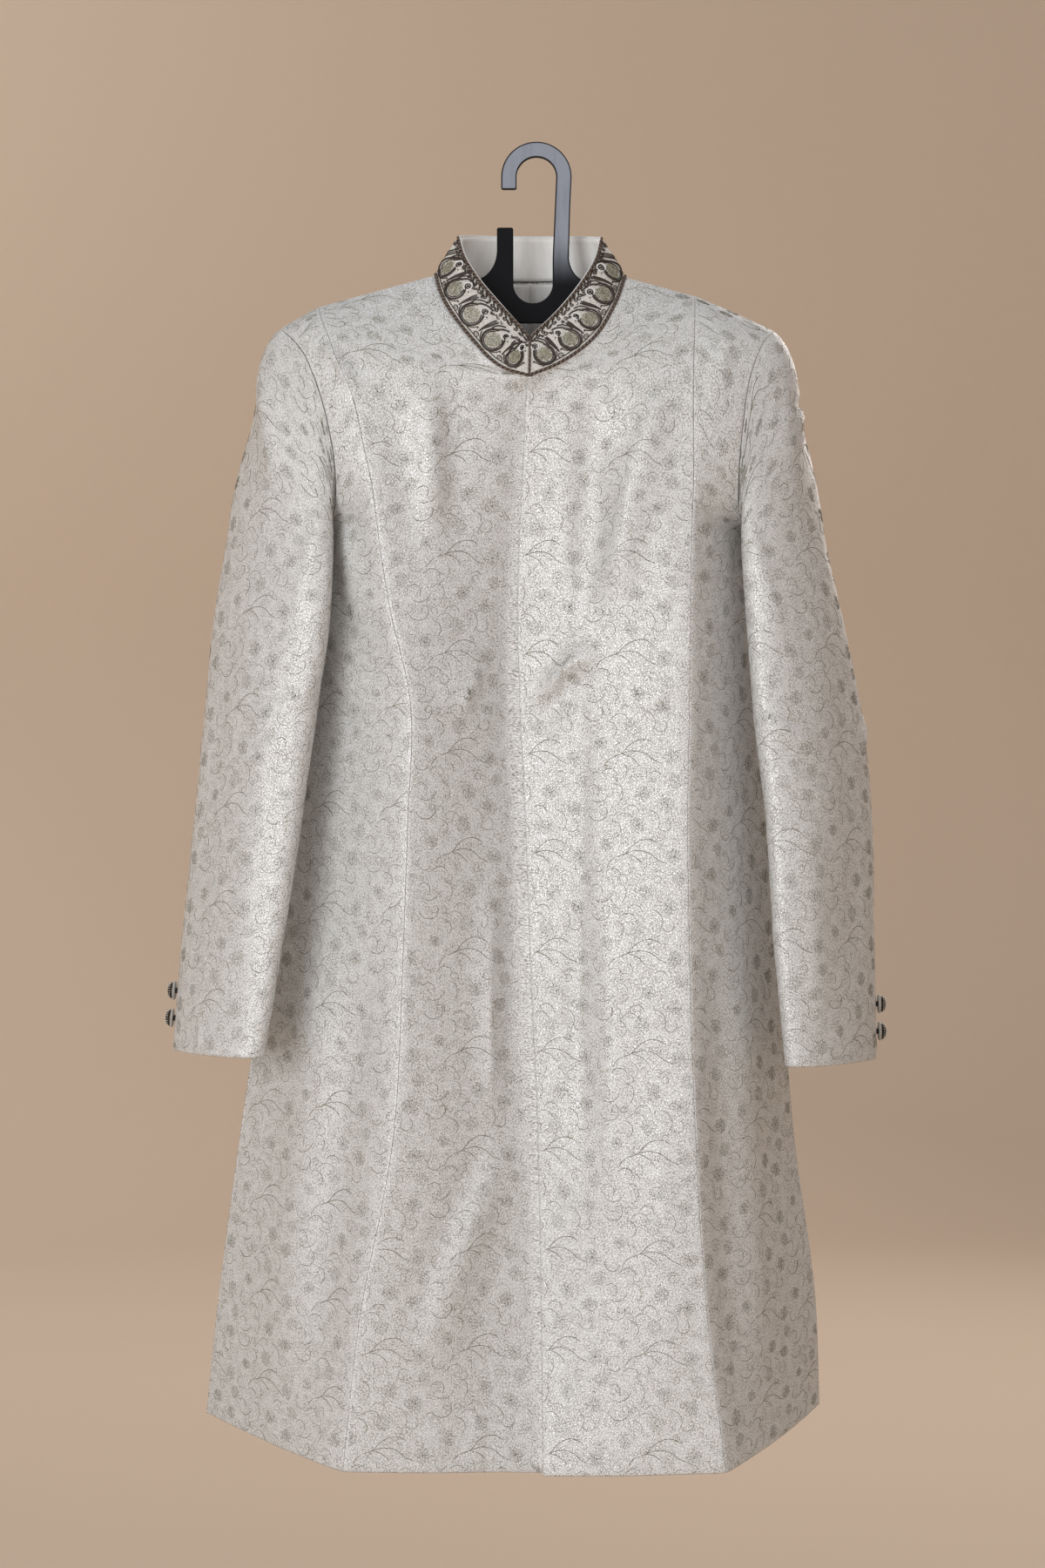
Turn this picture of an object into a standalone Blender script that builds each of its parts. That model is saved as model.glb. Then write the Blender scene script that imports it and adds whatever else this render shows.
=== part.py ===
"""Sherwani coat hanging closed on a flat plastic hook hanger.

Frame: metres, +Z up, the front faces -Y and +X is the wearer's left. The origin is the
inner top of the hanger's hook, where it rests on a rail. "Right" and "left" are the wearer's.

Every piece of cloth is a closed wall. Its outer face is a grid of points: the rows run
from one seam to the next and climb the garment from the hem to the shoulder, and each
row passes through three stations that the tables below give in millimetres.
"""
import bpy
import bmesh
import math
from collections import namedtuple
from mathutils import Vector

MM = 0.001

# ---------------------------------------------------------------- driving sizes, in mm
CLOTH = 2.0             # brocade with its canvas and lining
SATIN = 1.2             # inner collar band and back neck lining
SEAM_GAP = 0.3          # between two pieces that are sewn together
LAYER_GAP = 0.4         # between two layers that lie on each other
HEM_STEP = 3.0          # the left front hangs this much lower at the closing edge
COLLAR_SLIT = 1.0       # between the two front ends of the collar
BUTTON_DIAMETER = 17.0
BUTTON_DOME = 5.0
BUTTON_RIM = 2.2
BUTTON_SIDES = 18
BUTTON_EDGE = 0.6       # bevel at the rim's foot
BUTTON_DOME_SHARE = 0.92
BUTTON_SHANK = 2.5      # radius of the shank that carries it
BUTTON_LIFT = 1.8       # length of the shank
BUTTON_HEIGHTS = {"right": (-757.0, -782.0), "left": (-769.0, -794.0)}
PLATE = 4.0             # hanger plate

FRONT_COLUMNS = 8       # closing edge to princess seam
SIDE_COLUMNS = 4        # princess seam to side seam
BACK_COLUMNS = 4        # centre back to shoulder blade, and again to the side seam
UNDERLAP_COLUMNS = 2    # columns of the left front that the right one runs on under
COLLAR_ROWS = 3
CAP_ROWS = 5
LINING_COLUMNS = 3
LINING_BELOW_SEAM = 5.0

# ---------------------------------------------------------------- tables, in mm
# One row for each level. "steps" is how many rows of the grid lead to the next level.
# Each station is (x, y, z). Above the armpit the centre station follows the neckline
# and the side station follows the armhole.
Level = namedtuple("Level", "name steps centre ridge side")

FRONT_RIGHT = [
    Level("hem", 3, (4, -46, -1182), (-172, -66, -1174), (-309, 90, -1156)),
    Level("low skirt", 4, (1, -43, -1054), (-159, -66, -1052), (-298, 82, -1056)),
    Level("skirt", 4, (-3, -40, -876), (-127, -65, -875), (-274, 63, -886)),
    Level("hip", 3, (-10, -38, -722), (-119, -64, -721), (-250, 50, -728)),
    Level("high hip", 3, (-14, -36, -606), (-115, -64, -605), (-233, 42, -607)),
    Level("waist", 2, (-19, -36, -489), (-113, -63, -490), (-223, 36, -487)),
    Level("rib", 2, (-20, -39, -412), (-130, -63, -413), (-220, 34, -407)),
    Level("armpit", 2, (-17, -43, -335), (-142, -64, -336), (-212, 28, -338)),
    Level("low scye", 1, (-14, -47, -292), (-146, -64, -302), (-181, -34, -322)),
    Level("scye", 2, (-12, -49, -258), (-154, -62, -265), (-179, -46, -296)),
    Level("chest", 2, (-10, -53, -229), (-163, -57, -224), (-186, -47, -246)),
    Level("neck", 2, (-7, -58, -206), (-179, -46, -186), (-199, -40, -203)),
    Level("low collar", 2, (-29, -56, -199), (-187, -36, -164), (-209, -32, -181)),
    Level("mid collar", 2, (-60, -43, -168), (-193, -25, -149), (-219, -23, -168)),
    Level("high collar", 2, (-85, -19, -128), (-196, -12, -139), (-228, -12, -159)),
    Level("shoulder", 0, (-91, 0, -106), (-197, 0, -135), (-232, 0, -155)),
]
FRONT_LEFT = [
    Level("hem", 3, (4, -46, -1185), (168, -66, -1175), (266, 90, -1148)),
    Level("low skirt", 4, (1, -43, -1054), (153, -66, -1052), (262, 82, -1056)),
    Level("skirt", 4, (-3, -40, -876), (141, -65, -875), (239, 63, -886)),
    Level("hip", 3, (-10, -38, -722), (136, -64, -721), (226, 50, -728)),
    Level("high hip", 3, (-14, -36, -606), (134, -64, -605), (215, 42, -607)),
    Level("waist", 2, (-19, -36, -489), (136, -63, -490), (206, 36, -487)),
    Level("rib", 2, (-20, -39, -412), (137, -63, -413), (204, 34, -407)),
    Level("armpit", 2, (-17, -43, -335), (138, -64, -336), (200, 28, -338)),
    Level("low scye", 1, (-14, -47, -292), (139, -64, -302), (181, -34, -322)),
    Level("scye", 2, (-12, -49, -258), (139, -62, -265), (180, -46, -296)),
    Level("chest", 2, (-10, -53, -229), (139, -57, -224), (184, -47, -246)),
    Level("neck", 2, (-7, -58, -206), (140, -46, -186), (191, -40, -203)),
    Level("low collar", 2, (22, -53, -193), (141, -36, -164), (199, -32, -181)),
    Level("mid collar", 2, (50, -44, -171), (142, -25, -146), (206, -23, -168)),
    Level("high collar", 2, (70, -24, -137), (143, -12, -132), (212, -12, -161)),
    Level("shoulder", 0, (80, 0, -108), (143, 0, -125), (215, 0, -157)),
]
# The back's ridge station is the soft line down from the shoulder blade.
BACK_RIGHT = [
    Level("hem", 3, (-18, 124, -1162), (-170, 134, -1164), (-309, 90, -1156)),
    Level("low skirt", 4, (-17, 112, -1055), (-160, 123, -1056), (-298, 82, -1056)),
    Level("skirt", 4, (-14, 92, -878), (-142, 103, -878), (-274, 63, -886)),
    Level("hip", 3, (-11, 78, -724), (-128, 89, -724), (-250, 50, -728)),
    Level("high hip", 3, (-10, 68, -606), (-119, 79, -606), (-233, 42, -607)),
    Level("waist", 2, (-9, 64, -489), (-114, 74, -489), (-223, 36, -487)),
    Level("rib", 2, (-8, 69, -410), (-115, 79, -411), (-220, 34, -407)),
    Level("armpit", 2, (-8, 76, -334), (-120, 85, -337), (-212, 28, -338)),
    Level("low scye", 1, (-7, 78, -285), (-128, 84, -300), (-203, 57, -320)),
    Level("scye", 2, (-7, 77, -238), (-137, 80, -266), (-198, 63, -293)),
    Level("chest", 2, (-6, 70, -175), (-152, 72, -226), (-199, 60, -246)),
    Level("neck", 2, (-6, 51, -104), (-172, 55, -184), (-206, 49, -205)),
    Level("low collar", 2, (-33, 46, -104), (-183, 42, -163), (-214, 38, -183)),
    Level("mid collar", 2, (-59, 34, -104), (-191, 28, -148), (-222, 26, -169)),
    Level("high collar", 2, (-79, 17, -105), (-196, 13, -139), (-229, 13, -160)),
    Level("shoulder", 0, (-91, 0, -106), (-197, 0, -135), (-232, 0, -155)),
]
BACK_LEFT = [
    Level("hem", 3, (-18, 124, -1162), (134, 134, -1164), (266, 90, -1148)),
    Level("low skirt", 4, (-17, 112, -1055), (127, 123, -1056), (262, 82, -1056)),
    Level("skirt", 4, (-14, 92, -878), (115, 103, -878), (239, 63, -886)),
    Level("hip", 3, (-11, 78, -724), (106, 89, -724), (226, 50, -728)),
    Level("high hip", 3, (-10, 68, -606), (100, 79, -606), (215, 42, -607)),
    Level("waist", 2, (-9, 64, -489), (97, 74, -489), (206, 36, -487)),
    Level("rib", 2, (-8, 69, -410), (99, 79, -411), (204, 34, -407)),
    Level("armpit", 2, (-8, 76, -334), (106, 85, -337), (200, 28, -338)),
    Level("low scye", 1, (-7, 78, -285), (113, 84, -300), (190, 57, -320)),
    Level("scye", 2, (-7, 77, -238), (121, 80, -266), (185, 63, -293)),
    Level("chest", 2, (-6, 70, -175), (130, 72, -226), (186, 60, -246)),
    Level("neck", 2, (-6, 51, -104), (137, 55, -180), (192, 49, -205)),
    Level("low collar", 2, (22, 46, -104), (140, 42, -160), (199, 38, -183)),
    Level("mid collar", 2, (48, 34, -105), (142, 28, -144), (206, 26, -169)),
    Level("high collar", 2, (68, 17, -106), (143, 13, -131), (212, 13, -161)),
    Level("shoulder", 0, (80, 0, -108), (143, 0, -125), (215, 0, -157)),
]
NECK_CORNER = "neck"        # where the closing edge turns into the neckline
ARMPIT_CORNER = "armpit"    # where the side seam turns into the armhole

# One row for each ring of a sleeve: the outer and inner edges as seen from the front,
# the ring's middle in depth, the turn of its flat section and its thickness.
Ring = namedtuple("Ring", "steps z outer inner middle_y turn thick")
SLEEVE_RIGHT = [
    Ring(3, -810, -334, -242, -3, 49, 46),
    Ring(2, -711, -326, -226, 0, 49, 50),
    Ring(3, -599, -315, -209, 2, 48, 56),
    Ring(3, -487, -304, -193, 1, 47, 58),
    Ring(1, -423, -298, -184, -1, 46, 56),
    Ring(0, -366, -288, -181, -4, 44, 50),
]
SLEEVE_LEFT = [
    Ring(3, -818, 313, 221, -3, 49, 46),
    Ring(2, -711, 311, 211, 0, 49, 50),
    Ring(3, -591, 309, 203, 2, 48, 56),
    Ring(3, -505, 300, 193, 1, 47, 58),
    Ring(1, -423, 282, 187, -5, 46, 52),
    Ring(0, -366, 268, 183, -9, 44, 44),
]
# How the sleeve head meets the armhole, inwards and upwards, as shares of its own length.
Spring = namedtuple("Spring", "inwards up")
CAP_SPRING = {"front": Spring(0.14, 0.24), "crown": Spring(0.6, 0.5),
              "back": Spring(1.4, 0.3), "armpit": Spring(0.14, 0.24)}
CAP_HANG = 1.0          # and how far it runs on straight from the arm
SHARPEST_MITRE = 0.5    # cosine that limits how far a seam's corner reaches in
SHARPEST_SHOULDER = 0.7
CREVICE = -0.2          # below this, sleeve and body part so sharply that they share no direction
FRONT_SEAM_ANGLE = math.radians(215)
BACK_SEAM_ANGLE = math.radians(13)

# Top edge of the standing collar: front end, points to the side corner, centre back.
Edge = namedtuple("Edge", "name x y z")
COLLAR_TOP_RIGHT = [
    Edge("front end", -6, -43, -169), Edge("front", -30, -35, -141), Edge("front side", -53, -24, -112),
    Edge("side", -65, -11, -90), Edge("corner", -70, 2, -71), Edge("back side", -58, 22, -67),
    Edge("back", -34, 38, -65), Edge("centre back", -6, 44, -64),
]
COLLAR_TOP_LEFT = [
    Edge("front end", -6, -43, -169), Edge("front", 18, -35, -145), Edge("front side", 41, -23, -115),
    Edge("side", 53, -11, -93), Edge("corner", 58, 2, -72), Edge("back side", 46, 22, -68),
    Edge("back", 22, 38, -65), Edge("centre back", -6, 44, -64),
]
COLLAR_BOW = 1.2        # the collar's outward curve

# The largest folds: a soft ridge (+) or trough (-) between two points of the front view.
Fold = namedtuple("Fold", "name x0 z0 x1 z1 width height")
FOLD_RUN = 1.25         # a fold dies away this far along, as a share of its length
FOLDS_RIGHT = [
    Fold("chest ridge", -104, -190, -84, -360, 26, 5.0),
    Fold("chest trough", -134, -200, -112, -380, 26, -4.0),
    Fold("waist pull", -45, -440, -75, -505, 24, 3.5),
    Fold("skirt ridge", -36, -650, -34, -900, 24, 4.0),
    Fold("skirt pull", -14, -880, -88, -1060, 30, 4.5),
]
FOLDS_LEFT = [
    Fold("chest pull", 112, -200, 62, -430, 32, 5.0),
    Fold("chest trough", 54, -220, 50, -440, 28, -5.0),
    Fold("waist pull", 52, -440, -8, -490, 26, 5.0),
    Fold("skirt trough", 36, -640, 38, -920, 28, -3.5),
]
FOLDS_BACK = [
    Fold("right skirt ridge", -92, -620, -112, -1170, 44, 6.0),
    Fold("right skirt trough", -52, -640, -60, -1170, 40, -5.0),
    Fold("left skirt ridge", 70, -600, 92, -1170, 46, 6.0),
    Fold("left skirt trough", 24, -650, 38, -1170, 40, -5.0),
    Fold("nape ridge", -60, -200, -70, -400, 40, 3.0),
]
SIDE_BOW = 5.0          # the side panels' outward curve
WIDE_SIDE = 100.0       # a side panel this wide bows fully

# Hanger: sizes of its outline in the X-Z plane.
HOOK_INNER = 17.8       # radius
HOOK_WIDTH = 14.2
HOOK_TIP_DROP = 11.4    # from the level of the hook's centre down to its open tip
STEM_LEAN = 2.6         # how far the stem has leant inwards at its foot
STEM_END_Z = -91.0
SLOT_X = (-20.9, 14.6)
SLOT_BOTTOM_Z = -132.0
PRONG_X = (-35.8, -20.9)
PRONG_TOP_Z = -63.5
PRONG_END_Z = -84.0
BODY_BOTTOM_X = (-19.0, 11.0)
BODY_BOTTOM_Z = -150.0
CORNER = 2.0
# Each flare into the arms: the point that draws the curve, its end, and a point on the arm.
STEM_FLARE = [(30.4, -104.0), (41.0, -111.0), (54.0, -116.0)]
PRONG_FLARE = [(-36.3, -102.0), (-51.0, -110.0), (-64.0, -115.0)]
ARM_START = 4.0         # the arm's straight edge starts this far out from the neck
ARM_BELOW_NECK = 8.2    # from the coat's shoulder line down to the arm's top edge, at the neck
ARM_BELOW_CLOTH = 4.1   # and from the princess seam out
ARM_SHORT = 24.0        # from the shoulder's tip in to the arm's end
ARM_TIP_HEIGHT = 26.0
ARM_TIP_CORNER = 7.0

IVORY = (0.66, 0.62, 0.56)
SATIN_CREAM = (0.74, 0.71, 0.66)
BROWN = (0.13, 0.09, 0.07)
BLACK = (0.012, 0.012, 0.014)


# ---------------------------------------------------------------- scene helpers
def clear_scene():
    for obj in list(bpy.data.objects):
        bpy.data.objects.remove(obj, do_unlink=True)


def make_material(name, colour, roughness, metallic=0.0):
    material = bpy.data.materials.new(name)
    material.use_nodes = True
    shader = material.node_tree.nodes["Principled BSDF"]
    shader.inputs["Base Color"].default_value = (*colour, 1.0)
    shader.inputs["Roughness"].default_value = roughness
    shader.inputs["Metallic"].default_value = metallic
    return material


def add_object(name, mesh, material, collection):
    obj = bpy.data.objects.new(name, mesh)
    mesh.materials.append(material)
    collection.objects.link(obj)
    return obj


# ---------------------------------------------------------------- curves through stations
def slopes(knots, values, corners):
    """Slope at each knot: weighted over both sides, one-sided at ends and corners."""
    spans = [(values[i + 1] - values[i]) / (knots[i + 1] - knots[i]) for i in range(len(values) - 1)]
    before, after = [], []
    for i in range(len(values)):
        left = spans[max(i - 1, 0)]
        right = spans[min(i, len(spans) - 1)]
        if i in corners or i in (0, len(values) - 1):
            before.append(left)
            after.append(right)
            continue
        near = knots[i] - knots[i - 1]
        far = knots[i + 1] - knots[i]
        slope = (left * far + right * near) / (near + far)
        before.append(slope)
        after.append(slope)
    return before, after


def hermite(start, end, start_slope, end_slope, t):
    """Cubic from start to end; the slopes are for a unit of t."""
    t2 = t * t
    t3 = t2 * t
    return (start * (2 * t3 - 3 * t2 + 1) + start_slope * (t3 - 2 * t2 + t)
            + end * (3 * t2 - 2 * t3) + end_slope * (t3 - t2))


def through(points, steps, corners=()):
    """Points of a smooth curve through the given ones, steps[i] of them in span i."""
    points = [Vector(p) for p in points]
    knots = [0.0]
    for a, b in zip(points, points[1:]):
        knots.append(knots[-1] + (b - a).length)
    before, after = slopes(knots, points, corners)
    curve = []
    for i, count in enumerate(steps[:len(points) - 1]):
        span = knots[i + 1] - knots[i]
        for k in range(count):
            curve.append(hermite(points[i], points[i + 1], after[i] * span,
                                 before[i + 1] * span, k / count))
    curve.append(points[-1])
    return curve


def level_index(levels, name):
    return [level.name for level in levels].index(name)


def row_index(levels, name):
    return sum(level.steps for level in levels[:level_index(levels, name)])


# ---------------------------------------------------------------- folds
def bump(distance, width):
    """Smooth hill, 1 in its middle and 0 beyond half the width."""
    reach = abs(distance) / (0.5 * width)
    return 0.0 if reach >= 1.0 else (1.0 - reach * reach) ** 2


def fold_height(folds, x, z):
    total = 0.0
    for fold in folds:
        dx = fold.x1 - fold.x0
        dz = fold.z1 - fold.z0
        length = math.hypot(dx, dz)
        along = ((x - fold.x0) * dx + (z - fold.z0) * dz) / length
        across = ((x - fold.x0) * dz - (z - fold.z0) * dx) / length
        middle = (along - 0.5 * length) / length
        total += fold.height * bump(across, 2.0 * fold.width) * bump(middle, FOLD_RUN)
    return total


# ---------------------------------------------------------------- grids of cloth
def front_grid(levels, folds):
    """Rows from the closing edge over the princess seam to the side seam."""
    steps = [level.steps for level in levels]
    neck = level_index(levels, NECK_CORNER)
    armpit = level_index(levels, ARMPIT_CORNER)
    centre = through([level.centre for level in levels], steps, (neck,))
    ridge = through([level.ridge for level in levels], steps)
    side = through([level.side for level in levels], steps, (armpit,))
    grid = []
    for c, r, s in zip(centre, ridge, side):
        row = [c.lerp(r, k / FRONT_COLUMNS) for k in range(FRONT_COLUMNS)]
        for k in range(SIDE_COLUMNS + 1):
            t = k / SIDE_COLUMNS
            across = s - r
            outward = Vector((across.y, -across.x, 0.0)).normalized() * (1 if across.x > 0 else -1)
            bow = SIDE_BOW * 4 * t * (1 - t) * min(1.0, across.length / WIDE_SIDE)
            row.append(r.lerp(s, t) + outward * bow)
        for k, point in enumerate(row):
            easing = min(1.0, k / 2.0) * min(1.0, max(0.0, (FRONT_COLUMNS - k) / 2.0))
            point.y -= fold_height(folds, point.x, point.z) * easing
        grid.append(row)
    return grid


def back_grid(levels, folds):
    """Rows from the centre back seam over the shoulder blade to the side seam."""
    steps = [level.steps for level in levels]
    neck = level_index(levels, NECK_CORNER)
    armpit = level_index(levels, ARMPIT_CORNER)
    centre = through([level.centre for level in levels], steps, (neck,))
    blade = through([level.ridge for level in levels], steps)
    side = through([level.side for level in levels], steps, (armpit,))
    top = len(centre) - 1
    bend_end = row_index(levels, "high collar")
    grid = []
    for r, (c, b, s) in enumerate(zip(centre, blade, side)):
        curved = through([c, b, s], [BACK_COLUMNS, BACK_COLUMNS])
        straight = ([c.lerp(b, k / BACK_COLUMNS) for k in range(BACK_COLUMNS)]
                    + [b.lerp(s, k / BACK_COLUMNS) for k in range(BACK_COLUMNS + 1)])
        ease = max(0.0, (r - bend_end) / (top - bend_end))
        row = [p.lerp(q, ease) for p, q in zip(curved, straight)]
        for k, point in enumerate(row):
            easing = min(1.0, k) * min(1.0, (2 * BACK_COLUMNS - k) / 2.0)
            point.y += fold_height(folds, point.x, point.z) * easing
        grid.append(row)
    return grid


def normals(grid, flip):
    """Unit normals of a grid from its neighbours; flip turns them to the other side."""
    rows, columns = len(grid), len(grid[0])
    result = []
    for r in range(rows):
        line = []
        for c in range(columns):
            along = grid[min(r + 1, rows - 1)][c] - grid[max(r - 1, 0)][c]
            across = grid[r][min(c + 1, columns - 1)] - grid[r][max(c - 1, 0)]
            line.append(across.cross(along).normalized() * (-1 if flip else 1))
        result.append(line)
    return result


def meet(first, second):
    """One common direction at a seam, long enough to keep both walls' thickness."""
    middle = (first + second).normalized()
    return middle / max(middle.dot(first), SHARPEST_MITRE)


class Sheet:
    """Outer points of one piece of cloth and the outward direction at each."""

    def __init__(self, grid, outward):
        self.points = grid
        self.outward = outward

    def columns(self, first, last):
        return Sheet([row[first:last + 1] for row in self.points],
                     [row[first:last + 1] for row in self.outward])

    def drawn_in(self, first=True, last=True, top=True):
        """The sheet with its sewn edges drawn back by half a seam gap."""
        points = [[p.copy() if p else None for p in row] for row in self.points]
        end = len(points) - 1

        def shift(r, c, near_r, near_c):
            step = self.points[near_r][near_c] - self.points[r][c]
            points[r][c] += step.normalized() * min(0.5 * SEAM_GAP, 0.4 * step.length)

        for r, row in enumerate(self.points):
            if first:
                shift(r, 0, r, 1)
            if last:
                shift(r, len(row) - 1, r, len(row) - 2)
        if top:
            for c, point in enumerate(self.points[end]):
                if point:
                    shift(end, c, end - 1, c)
        return Sheet(points, self.outward)

    def moved_in(self, depth):
        """The sheet that lies this far below the outer face."""
        points = [[p - n * depth if p else None for p, n in zip(row, line)]
                  for row, line in zip(self.points, self.outward)]
        return Sheet(points, self.outward)


def wall_mesh(name, sheets, thickness):
    """Closed wall between the sheets' joined outer face and its copy moved inwards."""
    shape = bmesh.new()
    inward = shape.verts.layers.float_vector.new("inward")
    for sheet in sheets:
        grid = []
        for row, line in zip(sheet.points, sheet.outward):
            verts = []
            for point, outward in zip(row, line):
                vert = shape.verts.new(point * MM) if point else None
                if vert:
                    vert[inward] = outward * (-thickness * MM)
                verts.append(vert)
            grid.append(verts)
        for low, high in zip(grid, grid[1:]):
            for c in range(len(low) - 1):
                a, b, d, e = low[c], low[c + 1], high[c + 1], high[c]
                if not all((a, b, d, e)):
                    continue
                # The diagonal always rises towards +X, so that layers lie flat on each other.
                halves = ((a, b, d), (a, d, e)) if a.co.x < b.co.x else ((a, b, e), (b, d, e))
                for corners in halves:
                    shape.faces.new(corners)
    bmesh.ops.remove_doubles(shape, verts=shape.verts, dist=0.01 * MM)
    free_edges = [edge for edge in shape.edges if edge.is_boundary]
    copied = bmesh.ops.duplicate(shape, geom=shape.verts[:] + shape.edges[:] + shape.faces[:])
    twin = copied["vert_map"]
    for item in copied["geom"]:
        if isinstance(item, bmesh.types.BMVert):
            item.co += item[inward]
    for edge in free_edges:
        start, end = edge.verts
        shape.faces.new((start, end, twin[end], twin[start]))
    bmesh.ops.recalc_face_normals(shape, faces=shape.faces)
    mesh = bpy.data.meshes.new(name)
    shape.to_mesh(mesh)
    shape.free()
    mesh.shade_smooth()
    mesh.set_sharp_from_angle(angle=math.radians(50))
    return mesh


# ---------------------------------------------------------------- body of the coat
def shoulder_up(point_before, point_after):
    """Straight up from a shoulder seam that runs across the front view."""
    along = point_after - point_before
    up = Vector((-along.z, 0.0, along.x)).normalized()
    return up if up.z > 0 else -up


def level_shoulder(sheet):
    """Points the top row's thickness straight into the coat, as on the other side of the seam."""
    top = sheet.points[-1]
    for c in range(len(top)):
        up = shoulder_up(top[max(c - 1, 0)], top[min(c + 1, len(top) - 1)])
        sheet.outward[-1][c] = up / max(up.dot(sheet.outward[-1][c]), SHARPEST_SHOULDER)


def body_half(front_levels, back_levels, front_folds, is_right):
    """The outer sheets of one half, with their thickness matched at the side seam."""
    front_points = front_grid(front_levels, front_folds)
    back_points = back_grid(back_levels, FOLDS_BACK)
    front = Sheet(front_points, normals(front_points, is_right))
    back = Sheet(back_points, normals(back_points, not is_right))
    armpit = row_index(front_levels, ARMPIT_CORNER)
    for r in range(armpit + 1):
        front.outward[r][-1] = back.outward[r][-1] = meet(front.outward[r][-1], back.outward[r][-1])
    for r in range(row_index(back_levels, NECK_CORNER) + 1):
        back.outward[r][0].x = 0.0
        back.outward[r][0].normalize()
    level_shoulder(front)
    level_shoulder(back)
    return front, back


def with_underlap(right, left):
    """The right front, sunk under the left one's edge and carried on behind it below the neck."""
    depth = CLOTH + LAYER_GAP
    neck = row_index(FRONT_RIGHT, NECK_CORNER)
    points, outward = [], []
    for r, (row, line) in enumerate(zip(right.points, right.outward)):
        if r < neck:
            step = Vector((0.0, 0.0, HEM_STEP if r == 0 else 0.0))
            covered = [left.points[r][k] - left.outward[r][k] * depth + step
                       for k in range(UNDERLAP_COLUMNS, -1, -1)]
            facing = left.outward[r][UNDERLAP_COLUMNS:0:-1]
        else:
            edge = row[0]
            if r == neck:
                edge = edge + (row[1] - edge).normalized() * LAYER_GAP
            covered = [None] * UNDERLAP_COLUMNS + [edge]
            facing = [None] * UNDERLAP_COLUMNS
        points.append(covered + row[1:])
        outward.append(facing + line)
    return Sheet(points, outward)


# ---------------------------------------------------------------- sleeves
def ring_axes(ring, is_right):
    """Middle of a flat oval ring, with its half length and half thickness as vectors."""
    sign = -1.0 if is_right else 1.0
    turn = math.radians(ring.turn)
    half_width = 0.5 * abs(ring.outer - ring.inner)
    half_thick = 0.5 * ring.thick
    half_long = math.sqrt(half_width ** 2 - (half_thick * math.sin(turn)) ** 2) / math.cos(turn)
    long_way = Vector((sign * math.cos(turn), math.sin(turn), 0.0)) * half_long
    thick_way = Vector((sign * math.sin(turn), -math.cos(turn), 0.0)) * half_thick
    return Vector((0.5 * (ring.outer + ring.inner), ring.middle_y, ring.z)), long_way, thick_way


def sleeve_ring(ring, is_right, angles):
    """Points of the ring at the given angles from its outer back edge."""
    middle, long_way, thick_way = ring_axes(ring, is_right)
    return [middle + long_way * math.cos(a) + thick_way * math.sin(a) for a in angles]


def armhole_loop(front, back, armpit):
    """The body's armhole edge: up the front from the armpit, over the tip, down the back."""
    rows = len(front.points)
    up = [(front.points[r][-1], front.outward[r][-1]) for r in range(armpit, rows)]
    down = [(back.points[r][-1], back.outward[r][-1]) for r in range(rows - 1, armpit - 1, -1)]
    return up + down[1:-1], len(up) - 1


def loop_angles(points, crown):
    """Angle of each armhole point: -90 deg at the armpit, 180 at the front, 90 at the crown."""
    lengths = [0.0]
    closed = points + points[:1]
    for a, b in zip(closed, closed[1:]):
        lengths.append(lengths[-1] + (b - a).length)
    front_length = lengths[crown]
    back_length = lengths[-1] - front_length
    angles = []
    for i in range(len(points)):
        if i <= crown:
            angles.append(math.radians(270.0 - 180.0 * lengths[i] / front_length))
        else:
            angles.append(math.radians(90.0 - 180.0 * (lengths[i] - front_length) / back_length))
    return angles


def cap_spring(angle):
    """The sleeve head's spring at an angle of the armhole, between those of its quarters."""
    quarter = CAP_SPRING["crown" if math.sin(angle) > 0 else "armpit"]
    side = CAP_SPRING["back" if math.cos(angle) > 0 else "front"]
    share = math.sin(angle) ** 2
    return Spring(*(a * share + b * (1.0 - share) for a, b in zip(quarter, side)))


def sleeve_sheet(rings, loop, crown, is_right):
    """Rings from the cuff up, then the sleeve head up to the armhole."""
    sign = -1.0 if is_right else 1.0
    edge = [p for p, n in loop]
    angles = loop_angles(edge, crown)
    stations = [sleeve_ring(ring, is_right, angles) for ring in rings]
    steps = [ring.steps for ring in rings]
    columns = []
    for i, high in enumerate(edge):
        column = through([station[i] for station in stations], steps)
        low = column[-1]
        length = (high - low).length
        leave = (low - column[-2]).normalized() * CAP_HANG * length
        spring = cap_spring(angles[i])
        arrive = Vector((-sign * spring.inwards, 0.0, spring.up)) * length
        column += [hermite(low, high, leave, arrive, k / CAP_ROWS) for k in range(1, CAP_ROWS + 1)]
        columns.append(column)
    return [list(row) for row in zip(*columns)], angles


def sleeve_tube(rings, front, back, is_right):
    """The whole sleeve's sheet; its top edge and the armhole share their directions."""
    armpit = row_index(FRONT_RIGHT, ARMPIT_CORNER)
    loop, crown = armhole_loop(front, back, armpit)
    grid, angles = sleeve_sheet(rings, loop, crown, is_right)
    count = len(loop)
    outward = []
    for r in range(len(grid)):
        line = []
        for c in range(count):
            along = grid[min(r + 1, len(grid) - 1)][c] - grid[max(r - 1, 0)][c]
            across = grid[r][(c + 1) % count] - grid[r][c - 1]
            line.append(across.cross(along).normalized() * (-1 if is_right else 1))
        outward.append(line)
    for c in range(count):
        body = front if c <= crown else back
        r = armpit + c if c <= crown else armpit + count - c
        if outward[-1][c].dot(body.outward[r][-1]) > CREVICE:
            outward[-1][c] = body.outward[r][-1] = meet(outward[-1][c], body.outward[r][-1])
    for r in (armpit, len(front.points) - 1):
        back.outward[r][-1] = front.outward[r][-1]
    return Sheet(grid, outward), angles, crown


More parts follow.
